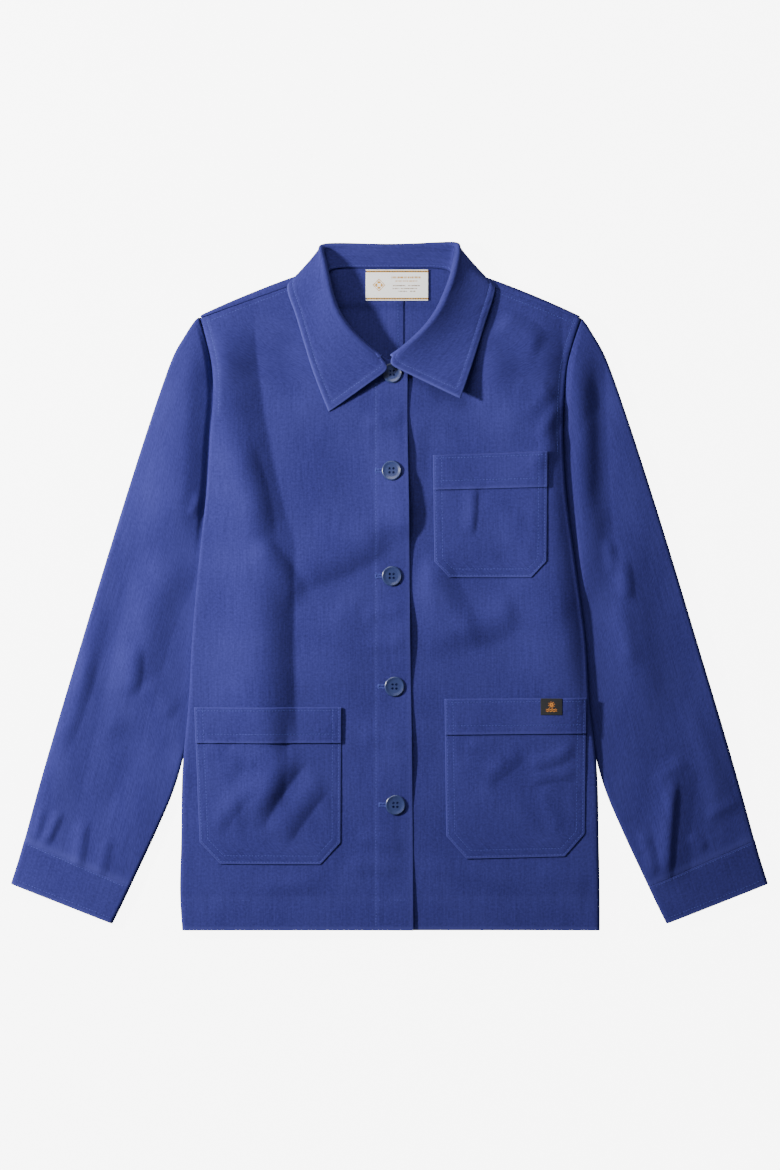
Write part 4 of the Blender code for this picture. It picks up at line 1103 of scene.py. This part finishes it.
# The bag up from its foot, the turn at its top and the band down over it
def makePocket(name, shape):
    columns = np.linspace(0, 1, pocketLook["columns"])[None, :]
    tall = pocketPlan(shape, 0.0, 0.0)[2]
    roll, band = pocketLook["bandRoll"], shape["band"]
    bagUp = np.concatenate([np.linspace(0, shape["cut"][1], 18)[:-1],
                            np.linspace(shape["cut"][1], tall - roll, 82)])[:, None]
    x, y, tall = pocketPlan(shape, columns, bagUp)
    bag = np.stack([x, y, bagHeight(shape, x, y, columns, bagUp, tall)], axis=-1)
    angle = np.linspace(0, math.pi, 9)[1:-1][:, None]
    turnUp = tall - roll + roll * np.sin(angle)
    x, y, tall = pocketPlan(shape, columns, turnUp)
    lift = roll * (1 - np.cos(angle))
    turn = np.stack([x, y, bagHeight(shape, x, y, columns, turnUp, tall) + lift], axis=-1)
    bandUp = np.linspace(tall - roll, tall - band, 26)[:, None]
    x, y, tall = pocketPlan(shape, columns, bandUp)
    fromLow = bandUp - (tall - band)
    z = bagHeight(shape, x, y, columns, bandUp, tall) + 2 * roll
    for level in (pocketLook["bandStitchLow"], band - pocketLook["bandStitchHigh"]):
        z = z - 0.2 * np.exp(-((fromLow - level) / 0.9) ** 2)
    ripple = softNoise(x, y * 0, 7, 103) + 0.5 * softNoise(x, y * 0, 3.3, 104)
    z = z + 0.14 * ripple * np.exp(-((fromLow - 6) / 6.0) ** 2)
    bandPoints = np.stack([x, y, z], axis=-1)
    points = np.concatenate([bag, turn, bandPoints])
    uv = clothUv(points)
    away = pathField(pocketOutline(shape), points[..., 0], points[..., 1])[0]
    wear = 0.4 * np.exp(-(away / 1.5) ** 2)
    row = np.arange(len(points))[:, None]
    wear = wear + 0.35 * np.exp(-((row - len(bag) - 3) / 3.0) ** 2)
    wear = wear + 0.35 * np.exp(-((row - len(points) + 1) / 1.2) ** 2)
    shell = wallShell(points, uv, np.clip(wear, 0, 1), pocketLook["wall"])
    return addPiece(name, gridMesh(name, *shell), twill, "twill", shape["node"])


pocketPieces = {name: makePocket(name, shape) for name, shape in pockets.items()}
print("pockets made")


buttonLook = dict(
    places=((2.7, 212.5), (2.3, 114.8), (2.3, 9.5), (5.0, -101.0), (6.0, -219.3)),
    radius=10.0, rim=1.6, thick=1.7, sink=0.6, hole=1.2, spread=1.95, sides=64,
)


# The mesh of a turned disc with four drilled holes
def drilledDisc():
    b = buttonLook
    radius, thick = b["radius"], b["thick"]
    face, well = thick - b["sink"], radius - b["rim"]
    profile = [
        (0, face - 0.15), (well - 2.6, face - 0.1), (well - 1.2, face + 0.05), (well - 0.4, face + 0.45),
        (well + 0.3, thick - 0.1), (radius - 1.1, thick), (radius - 0.5, thick - 0.2), (radius, thick - 0.7),
        (radius, 0.9), (radius - 0.4, 0.4), (radius - 1.5, 0), (0, 0),
    ]
    bm = bmesh.new()
    rim = [bm.verts.new((r, 0, z)) for r, z in profile]
    edges = [bm.edges.new(pair) for pair in zip(rim[:-1], rim[1:])]
    bmesh.ops.spin(bm, geom=rim + edges, cent=(0, 0, 0), axis=(0, 0, 1), angle=2 * math.pi, steps=b["sides"],
                   use_merge=True)
    bmesh.ops.remove_doubles(bm, verts=bm.verts, dist=1e-4)
    bmesh.ops.recalc_face_normals(bm, faces=bm.faces)
    mesh = bpy.data.meshes.new("buttonBlank")
    bm.to_mesh(mesh)
    bm.free()
    blank = bpy.data.objects.new("buttonBlank", mesh)
    drillMesh = bpy.data.meshes.new("drill")
    bm = bmesh.new()
    for sx in (-1, 1):
        for sy in (-1, 1):
            grown = bmesh.ops.create_cone(bm, cap_ends=True, segments=20, depth=12,
                                          radius1=b["hole"], radius2=b["hole"])
            bmesh.ops.translate(bm, verts=grown["verts"], vec=(sx * b["spread"], sy * b["spread"], 0))
    bm.to_mesh(drillMesh)
    bm.free()
    drill = bpy.data.objects.new("drill", drillMesh)
    for helper in (blank, drill):
        bpy.context.scene.collection.objects.link(helper)
    cut = blank.modifiers.new("holes", "BOOLEAN")
    cut.object = drill
    bpy.context.view_layer.update()
    solid = bpy.data.meshes.new_from_object(blank.evaluated_get(bpy.context.evaluated_depsgraph_get()))
    for helper in (blank, drill):
        bpy.data.objects.remove(helper)
    return solid


# Square to the right front: the plane through the front round the button's rim
def buttonSeat(x, y):
    angles = np.linspace(0, 2 * math.pi, 12, endpoint=False)
    ringX, ringY = x + buttonLook["radius"] * np.cos(angles), y + buttonLook["radius"] * np.sin(angles)
    ring = np.array([ringX, ringY, frontHeight(ringX, ringY, right)]).T
    centre = ring.mean(axis=0)
    normal = np.linalg.svd(ring - centre)[2][2]
    normal = normal * np.sign(normal[2])
    spots = np.linspace(-1, 1, 9) * buttonLook["radius"]
    px, py = np.meshgrid(x + spots, y + spots)
    under = np.hypot(px - x, py - y) <= buttonLook["radius"]
    spread = np.stack([px, py, frontHeight(px, py, right)], axis=-1)[under]
    proud = ((spread - centre) @ normal).max()
    return centre + normal * (proud + layers["cloth"] / 2 + layers["seam"]), normal


# Axes whose third one is the normal
def tiltTo(normal):
    across = unit(np.cross([0, 1.0, 0], normal))
    return np.stack([across, np.cross(normal, across), normal], axis=1)


buttonSolid = drilledDisc()
buttonPieces = []
for number, (x, y) in enumerate(buttonLook["places"], 1):
    seat, normal = buttonSeat(x, y)
    mesh = buttonSolid.copy()
    co = np.zeros(len(mesh.vertices) * 3)
    mesh.vertices.foreach_get("co", co)
    co = (co.reshape(-1, 3) @ tiltTo(normal).T + seat) * mm
    mesh.vertices.foreach_set("co", co.ravel())
    mesh.shade_smooth()
    mesh.set_sharp_from_angle(angle=math.radians(38))
    buttonPieces.append(addPiece(f"button{number}", mesh, buttonPlastic, "button", f"button_{number}"))
print("buttons made")


stitchLook = dict(length=2.3, pitch=3.1, width=0.44, lift=0.07, seed=3)
holeLook = dict(start=-13.6, end=7.5, half=2.5, pitch=0.7, width=0.5)
threadShake = np.random.default_rng(stitchLook["seed"])


# Even points along a polyline, a given step apart
def evenly(path, step=1.0):
    path = np.asarray(path, float)
    run = np.concatenate([[0], np.cumsum(np.linalg.norm(np.diff(path, axis=0), axis=1))])
    at = np.arange(0, run[-1], step)
    return np.stack([np.interp(at, run, path[:, k]) for k in range(path.shape[1])], axis=1)


# Beads of thread: each is four rings round its own four centres, thin at its ends
def beadMesh(name, groups):
    points, faces, count = [], [], 0
    for centre, up, width in groups:
        way = unit(centre[:, -1:] - centre[:, :1])
        across = unit(np.cross(way, up))
        thin = np.array([0.35, 1, 1, 0.35])[None, :, None, None] * width / 2
        angle = np.linspace(0, 2 * math.pi, 6, endpoint=False)[None, None, :, None]
        about = across[:, :, None] * np.cos(angle) + 0.8 * up[:, :, None] * np.sin(angle)
        ring = centre[:, :, None] + thin * about
        points.append(ring.reshape(-1, 3))
        n = len(centre)
        base = count + (np.arange(n) * 24)[:, None, None]
        i, j = np.meshgrid(np.arange(3), np.arange(6), indexing="ij")
        k = (j + 1) % 6
        quad = np.stack([i * 6 + j, i * 6 + k, (i + 1) * 6 + k, (i + 1) * 6 + j], axis=-1).reshape(1, -1, 4)
        caps = np.array([[[0, 5, 4, 3], [0, 3, 2, 1], [18, 19, 20, 21], [18, 21, 22, 23]]])
        quad = np.concatenate([np.repeat(quad, n, axis=0), np.repeat(caps, n, axis=0)], axis=1) + base
        faces.append(quad.reshape(-1, 4))
        count += n * 24
    return meshOf(name, np.concatenate(points), np.concatenate(faces), weld=False)


# Stitches along each path, uneven in length and place, that dip into the
# cloth at both ends
def stitchMesh(name, rows):
    look, groups = stitchLook, []
    for path, normals in rows:
        run = np.concatenate([[0], np.cumsum(np.linalg.norm(np.diff(path, axis=0), axis=1))])
        middles = np.arange(look["pitch"] / 2, run[-1], look["pitch"])
        middles = middles + threadShake.normal(0, 0.16, len(middles))
        span = look["length"] * threadShake.uniform(0.8, 1.08, len(middles))
        at = middles[:, None] + np.array([-0.5, -0.3, 0.3, 0.5])[None] * span[:, None]
        centre = np.stack([np.interp(at, run, path[:, k]) for k in range(3)], axis=-1)
        up = unit(np.stack([np.interp(at, run, normals[:, k]) for k in range(3)], axis=-1))
        aside = unit(np.cross(centre[:, -1:] - centre[:, :1], up))
        aside = aside * threadShake.normal(0, 0.1, len(middles))[:, None, None]
        dip = np.array([-0.2, look["lift"], look["lift"], -0.2])[None, :, None]
        groups.append((centre + aside + up * dip, up, look["width"]))
    return beadMesh(name, groups)


# Plan path on a height field: the points on its outer face, and their normals
def onSurface(path, height, wall):
    plan = evenly(path)
    x, y = plan[:, 0], plan[:, 1]
    z = height(x, y)
    step = 0.6
    dx = (height(x + step, y) - height(x - step, y)) / (2 * step)
    dy = (height(x, y + step) - height(x, y - step)) / (2 * step)
    normal = unit(np.stack([-dx, -dy, np.ones(len(x))], axis=1))
    return np.stack([x, y, z], axis=1) + normal * wall / 2, normal


# From the shoulder's edge to its stitches
shoulderIn = np.array([0.36, 0.93]) * 8.6
stitches = {}
for side in (right, left):
    def height(x, y, side=side):
        return frontSurface(x, y, side)
    hemEnds = [(x, frontLook["hemStitchY"]) for x in ((-210, 21.5) if side == right else (24, 210))]
    shoulder = np.array([shoulderNeck, shoulderTip]) - shoulderIn
    shoulder = [(side * x, y) for x, y in shoulder]
    rows = [onSurface(path, height, layers["cloth"]) for path in [*frontSeams[side], hemEnds, shoulder]]
    name = f"front{sideName[side]}Stitches"
    stitches[name] = addPiece(name, stitchMesh(name, rows), thread, "twill")


# A buttonhole: two banks of satin stitches, one on each side of a slit, and a
# bar across its far end. The button hides its other end.
def buttonholeBeads(x, y):
    look, wall = holeLook, layers["cloth"]
    at = np.arange(look["start"], look["end"], look["pitch"]) + x - 2.7
    groups = []
    for bank in (-1, 1):
        px = at[:, None] + np.zeros(4)
        py = y + bank * np.linspace(0.3, look["half"], 4)[None] + threadShake.normal(0, 0.06, (len(at), 1))
        z = frontSurface(px, py, right) + wall / 2 + np.array([0.02, 0.22, 0.22, 0.0])
        groups.append((np.stack([px, py, z], axis=-1), np.tile([0, 0, 1.0], (len(at), 4, 1)), look["width"]))
    py = y + np.linspace(-look["half"], look["half"], 4)[None] + np.zeros((3, 1))
    px = at[0] + np.array([[-0.3], [0.1], [0.5]]) + np.zeros(4)
    z = frontSurface(px, py, right) + wall / 2 + np.array([0.0, 0.3, 0.3, 0.0])
    groups.append((np.stack([px, py, z], axis=-1), np.tile([0, 0, 1.0], (3, 4, 1)), look["width"]))
    return groups


# Thread from hole to hole of a button, two bundles of three strands that run
# across its back and come up in the holes
def buttonThreadBeads(seat, normal):
    b, strands = buttonLook, []
    for bundle in (-1, 1):
        for shift in (-0.5, 0, 0.5):
            x = np.array([-1.0, -0.8, 0.8, 1.0]) * b["spread"]
            y = np.full(4, bundle * b["spread"]) + shift
            z = np.array([1.0, 0.2, 0.2, 1.0])
            strands.append(np.stack([x, y, z], axis=-1) @ tiltTo(normal).T + seat)
    strands = np.array(strands)
    return [(strands, np.tile(normal, (len(strands), 4, 1)), 0.5)]


holes, sewn = [], []
for x, y in buttonLook["places"]:
    holes += buttonholeBeads(x, y)
    sewn += buttonThreadBeads(*buttonSeat(x, y))
stitches["buttonholes"] = addPiece("buttonholes", beadMesh("buttonholes", holes), thread, "twill")
stitches["buttonThreads"] = addPiece("buttonThreads", beadMesh("buttonThreads", sewn), buttonThread, "button")


# Rows along the rings of a cuff, over its top and under it: beside the seam
# and near the edge
def cuffStitches(side):
    points = cuffGrids[side]
    normals, rows = gridNormals(points, tube=True), []
    under = sleeveLook["top"] + sleeveLook["turn"] - 1
    for ring in cuffLook["stitchRings"]:
        for first, last in ((1, sleeveLook["top"] - 2), (under + 1, under + sleeveLook["low"] - 2)):
            column = np.linspace(first, last, 120)
            normal = unit(gridAt(normals, column * 0 + ring, column))
            if normal[60, 2] * (1 if first == 1 else -1) < 0:
                normal = -normal
            rows.append((gridAt(points, column * 0 + ring, column) + normal * cuffLook["wall"] / 2, normal))
    name = f"cuff{sideName[side]}Stitches"
    return addPiece(name, stitchMesh(name, rows), thread, "twill")


for side in (right, left):
    stitches[f"cuff{sideName[side]}Stitches"] = cuffStitches(side)


# A sheet whose upper face lies just inside the underside of the back
def backHeightBelow(x, y):
    return np.full(np.broadcast(x, y).shape, layers["floor"] - layers["cloth"] + 0.08)


# Down the middle of the back, inside and out, and its hem
backRowsOfThread = [onSurface([(fellSeam["stitch"], 236), (fellSeam["stitch"], 284)],
                              fellHeight, layers["cloth"])]
for path in (*([(x, -340), (x, 276)] for x in (fellSeam["stitch"], fellSeam["outerStitch"])),
             [(-206, frontLook["hemStitchY"]), (206, frontLook["hemStitchY"])]):
    outside, outward = onSurface(path, backHeightBelow, layers["cloth"])
    backRowsOfThread.append((outside, outward * (1, 1, -1)))
stitches["backStitches"] = addPiece(
    "backStitches", stitchMesh("backStitches", backRowsOfThread), thread, "twill",
)


# Two rows round the bag and two along its band
def pocketStitches(name, shape):
    tall = pocketPlan(shape, 0.0, 0.0)[2]

    def surface(extra):
        def height(x, y):
            foot, top = np.array(shape["foot"]), np.array(shape["top"])
            up = (y - foot[:, 1].mean()) / (top - foot)[:, 1].mean() * tall
            across = (x - foot[0, 0]) / (foot[1, 0] - foot[0, 0])
            onBand = ramp(up, tall - shape["band"] - 0.3, tall - shape["band"] + 0.3)
            return bagHeight(shape, x, y, np.clip(across, 0, 1), up, tall) + onBand * extra
        return height

    height = surface(2 * pocketLook["bandRoll"])
    rows = [onSurface(pocketOutline(shape, inset), height, pocketLook["wall"])
            for inset in (pocketLook["stitchNear"], pocketLook["stitchFar"])]
    for up in (tall - shape["band"] + pocketLook["bandStitchLow"], tall - pocketLook["bandStitchHigh"]):
        ends = [pocketPlan(shape, a, up)[:2] for a in (0.02, 0.98)]
        rows.append(onSurface([tuple(map(float, e)) for e in ends], height, pocketLook["wall"]))
    return addPiece(name, stitchMesh(name, rows), thread, "twill")


for name, shape in pockets.items():
    stitches[name + "Stitches"] = pocketStitches(name + "Stitches", shape)


# The stitch line 6 mm inside the leaf: down one end, along the edge, up the other
def collarStitches():
    u, v = collarUv[..., 0] / mm, collarUv[..., 1] / mm
    rows, columns = u.shape
    inset = collarLook["stitchIn"]
    edgeColumn = np.array([np.interp(u[r, -1] - inset, u[r], np.arange(columns)) for r in range(rows)])
    first = collarLook["leg"] + collarLook["arc"]
    ends = []
    for flip in (False, True):
        across = (v[-1:] - v)[::-1] if flip else v
        rowAt = np.array([np.interp(inset, across[:, c], np.arange(rows)) for c in range(first, columns)])
        columnAt = np.arange(first, columns, dtype=float)
        fits = columnAt < edgeColumn[int(rowAt[-1])]
        rowAt = (rows - 1 - rowAt) if flip else rowAt
        ends.append((rowAt[fits], columnAt[fits]))
    corner0, corner1 = ends[0][0][-1], ends[1][0][-1]
    middle = np.arange(math.ceil(corner0), math.floor(corner1) + 1, dtype=float)
    rowPath = np.concatenate([ends[0][0], middle, ends[1][0][::-1]])
    columnPath = np.concatenate([ends[0][1], edgeColumn[middle.astype(int)], ends[1][1][::-1]])
    normal = unit(gridAt(collarNormals, rowPath, columnPath))
    path = gridAt(collarPoints, rowPath, columnPath) + normal * collarLook["wall"] / 2
    return path, normal


collarRow = collarStitches()
# The collar's seam, clear of its two ends by some sections
standEnds = 20
collarSeamRow = np.arange(standEnds, collarLook["sections"] - standEnds, dtype=float)
standColumn = collarSeamRow * 0 + 1.0
standNormal = -unit(gridAt(collarNormals, collarSeamRow, standColumn))
standPath = gridAt(collarPoints, collarSeamRow, standColumn) + standNormal * collarLook["wall"] / 2
stitches["collarStitches"] = addPiece(
    "collarStitches", stitchMesh("collarStitches", [collarRow, (standPath, -standNormal)]), thread, "twill",
)
print("stitches made")


# Woven satin in three yarns. The wear value of the cloth tells which one is on
# top: the ground below a third, then the gold, and the dark above two thirds.
def makeWoven(name, ground, gold, dark, roughness):
    made, tree, shader = newMaterial(name)
    yarn = addNode(tree, "ShaderNodeAttribute", {"attribute_name": "wear"}).outputs["Fac"]
    uv = addNode(tree, "ShaderNodeUVMap", {"uv_map": "cloth"}).outputs[0]
    picks = addNode(tree, "ShaderNodeTexWave", {"wave_type": "BANDS", "bands_direction": "Y"},
                    {"Scale": 1 / (0.3 * mm * 20), "Distortion": 0.6, "Detail": 1.0}, {"Vector": uv})
    goldShare = addNode(tree, "ShaderNodeMath", {"operation": "GREATER_THAN"}, {1: 1 / 3}, {0: yarn})
    darkShare = addNode(tree, "ShaderNodeMath", {"operation": "GREATER_THAN"}, {1: 2 / 3}, {0: yarn})
    lit = addNode(tree, "ShaderNodeMix", {"data_type": "RGBA"}, {"A": srgb(ground), "B": srgb(gold)},
                  {"Factor": goldShare.outputs[0]})
    both = addNode(tree, "ShaderNodeMix", {"data_type": "RGBA"}, {"B": srgb(dark)},
                   {"Factor": darkShare.outputs[0], "A": lit.outputs["Result"]})
    tree.links.new(both.outputs["Result"], shader.inputs["Base Color"])
    bump = addNode(tree, "ShaderNodeBump", None, {"Strength": 0.35, "Distance": 0.0001},
                   {"Height": picks.outputs[1]})
    tree.links.new(bump.outputs[0], shader.inputs["Normal"])
    shader.inputs["Roughness"].default_value = roughness
    return made


# A woven patch over a box in plan: left, right, low and high, in square cells
def flatPatch(name, box, height, cell, design, finish, slot, node):
    columns, rows = (int((box[k + 1] - box[k]) / cell) + 1 for k in (0, 2))
    x, y = np.meshgrid(np.linspace(box[0], box[1], columns), np.linspace(box[2], box[3], rows))
    points = np.stack([x, y, height(x, y)], axis=-1)
    yarn = design(x - (box[0] + box[1]) / 2, y - (box[2] + box[3]) / 2)
    shell = wallShell(points, clothUv(points), yarn, patchWall)
    return addPiece(name, gridMesh(name, *shell), finish, slot, node)


patchWall = 0.5
labelBox = (-23.5, 38.5, 285.5, 316.0)
tagBox = (151.0, 172.0, -129.0, -112.8)
# Plain bars, two of gold and six dark: middle, level, length, height and yarn
labelBars = columnsOf(
    "x y long tall yarn",
    (9.5, 7.6, 30, 1.7, 0.5), (9.5, 4.0, 22, 0.9, 0.5), (2.0, -0.6, 13, 0.8, 1), (17.2, -0.6, 12, 0.8, 1),
    (-1.0, -3.4, 7, 0.8, 1), (12.0, -3.4, 16, 0.8, 1), (5.5, -6.2, 9, 0.8, 1), (15.5, -6.2, 6, 0.8, 1),
)


def barDesign(x, y, bars):
    yarn = np.zeros(x.shape)
    for bx, by, long, tall, kind in zip(*bars.values()):
        letters = np.sin((x - bx) * 5.1) + np.sin((x - bx) * 3.3 + by) > -0.7
        yarn = np.where((np.abs(x - bx) < long / 2) & (np.abs(y - by) < tall / 2) & letters, kind, yarn)
    return yarn


# A lozenge of four small ones beside the bars, and two border rows of gold
# with dark picks at the long edges
def labelDesign(x, y):
    yarn = barDesign(x, y, labelBars)
    u, v = np.abs(x + 18), np.abs(y)
    lozenge = (u + v < 6.5) & (np.abs(np.mod(u + v, 3.2) - 1.6) > 0.45) & (np.abs(u - v) > 0.4)
    yarn = np.where(lozenge, 0.5, yarn)
    border = np.abs(np.abs(y) - 13.6)
    yarn = np.where(border < 0.9, 0.5, yarn)
    return np.where((border < 0.45) & (np.mod(x, 2.6) < 1.2), 1, yarn)


# A small sun over two waves
def tagDesign(x, y):
    away = np.hypot(x, y - 1.9)
    sun = np.abs(away - 1.3) < 0.75
    rays = (away < 3.4) & (away > 2.5) & (np.sin(8 * np.arctan2(y - 1.9, x)) > 0.3)
    swing = 0.4 * np.sin(1.9 * x)
    waves = (np.abs(y + 2.6 - swing) < 0.42) | (np.abs(y + 4.3 - swing) < 0.42)
    waves = waves & (np.abs(x) < 5.4)
    return np.where(sun | rays | waves, 0.5, 0)


labelCloth = makeWoven("woven_satin_label", "#F7F5F1", "#C08A2E", "#3B3A3A", 0.5)
tagCloth = makeWoven("woven_black_tag", "#131316", "#C4761C", "#131316", 0.6)


def labelHeight(x, y):
    laid = backHeight(x, y, left) + layers["cloth"] / 2 + fellSeam["height"] + 0.2
    return laid + 0.1 * softNoise(x, y, 14, 5)


def tagHeight(x, y):
    shape = pockets["lowerPocketLeft"]
    tall = pocketPlan(shape, 0.0, 0.0)[2]
    up = tall - (tagBox[3] - y)
    footX = [end[0] for end in shape["foot"]]
    across = (x - footX[0]) / (footX[1] - footX[0])
    onBand = 2 * pocketLook["bandRoll"] + pocketLook["wall"] / 2 + 0.3
    return bagHeight(shape, x, y, across, up, tall) + onBand


label = flatPatch("neckLabel", labelBox, labelHeight, 0.4, labelDesign, labelCloth, "label", "neck_label")
tag = flatPatch("pocketTag", tagBox, tagHeight, 0.26, tagDesign, tagCloth, "tag", "pocket_tag")
print("label and tag made")


# Each cut piece of cloth, by its name
clothPieces = [*fronts.values(), *backs.values(), *sleeves.values(), *cuffs.values(), collar,
               *pocketPieces.values(), label, tag]
clothPieces = {piece.name: piece for piece in clothPieces}


# Metres. The camera's frame is measured at the height of the front.
studio = dict(
    floorGrey="#F5F5F5", fill=0.20, filmMm=36,
    cameraHeight=3.2, frameTall=1.170, frameCentre=(0.0005, 0.0005), planeHeight=0.009,
)
lamps = dict(
    key=dict(place=(-1.20, 0.30, 0.72), size=0.16, power=45.0),
    soft=dict(place=(-0.35, 0.95, 0.95), size=0.9, power=10.0),
)


# Painted board: matt, pale. What the camera sees is its own even tone with a
# light share of the shadows that fall on it.
def makeFloor():
    made, tree, shader = newMaterial("painted_board")
    shader.inputs["Base Color"].default_value = (0.3, 0.3, 0.3, 1)
    shader.inputs["Roughness"].default_value = 1.0
    shader.inputs["Emission Color"].default_value = srgb(studio["floorGrey"])
    seen = addNode(tree, "ShaderNodeLightPath").outputs["Is Camera Ray"]
    glow = addNode(tree, "ShaderNodeMath", {"operation": "MULTIPLY"}, {1: 8.0}, {0: seen})
    tree.links.new(glow.outputs[0], shader.inputs["Emission Strength"])
    return made


floorCorners = [(x * 4000, y * 4000, -0.3) for x, y in ((-1, -1), (1, -1), (1, 1), (-1, 1))]
floorMesh = meshOf("floor", floorCorners, np.array([[0, 1, 2, 3]]))
floor = bpy.data.objects.new("floor", floorMesh)
bpy.context.scene.collection.objects.link(floor)
floorMesh.materials.append(makeFloor())

# A pale room that gives the cloth a weak fill and the camera a white backdrop
world = bpy.data.worlds.new("softRoom")
bpy.context.scene.world = world
world.use_nodes = True
roomTree = world.node_tree
room = roomTree.nodes["Background"]
room.inputs["Color"].default_value = srgb("#EEF1F8")
roomSeen = addNode(roomTree, "ShaderNodeLightPath").outputs["Is Camera Ray"]
roomLevel = addNode(roomTree, "ShaderNodeMapRange", None, {"To Min": studio["fill"], "To Max": 9.0},
                    {"Value": roomSeen})
roomTree.links.new(roomLevel.outputs[0], room.inputs["Strength"])


# Turns a lamp so that it shines at the middle of the jacket
def pointedIn(place):
    return (-Vector(place)).to_track_quat("-Z", "Y").to_euler()


for name, lamp in lamps.items():
    light = bpy.data.lights.new(name, "AREA")
    light.shape, light.size, light.energy = "DISK", lamp["size"], lamp["power"]
    stand = bpy.data.objects.new(name, light)
    stand.location = lamp["place"]
    stand.rotation_euler = pointedIn(lamp["place"])
    bpy.context.scene.collection.objects.link(stand)

lens = bpy.data.cameras.new("overhead")
lens.sensor_width = studio["filmMm"]
lens.sensor_fit = "VERTICAL"
lens.sensor_height = studio["filmMm"]
lens.lens = studio["filmMm"] * (studio["cameraHeight"] - studio["planeHeight"]) / studio["frameTall"]
lens.clip_end = 50
camera = bpy.data.objects.new("overhead", lens)
camera.location = (*studio["frameCentre"], studio["cameraHeight"])
bpy.context.scene.collection.objects.link(camera)
bpy.context.scene.camera = camera
print("studio made")
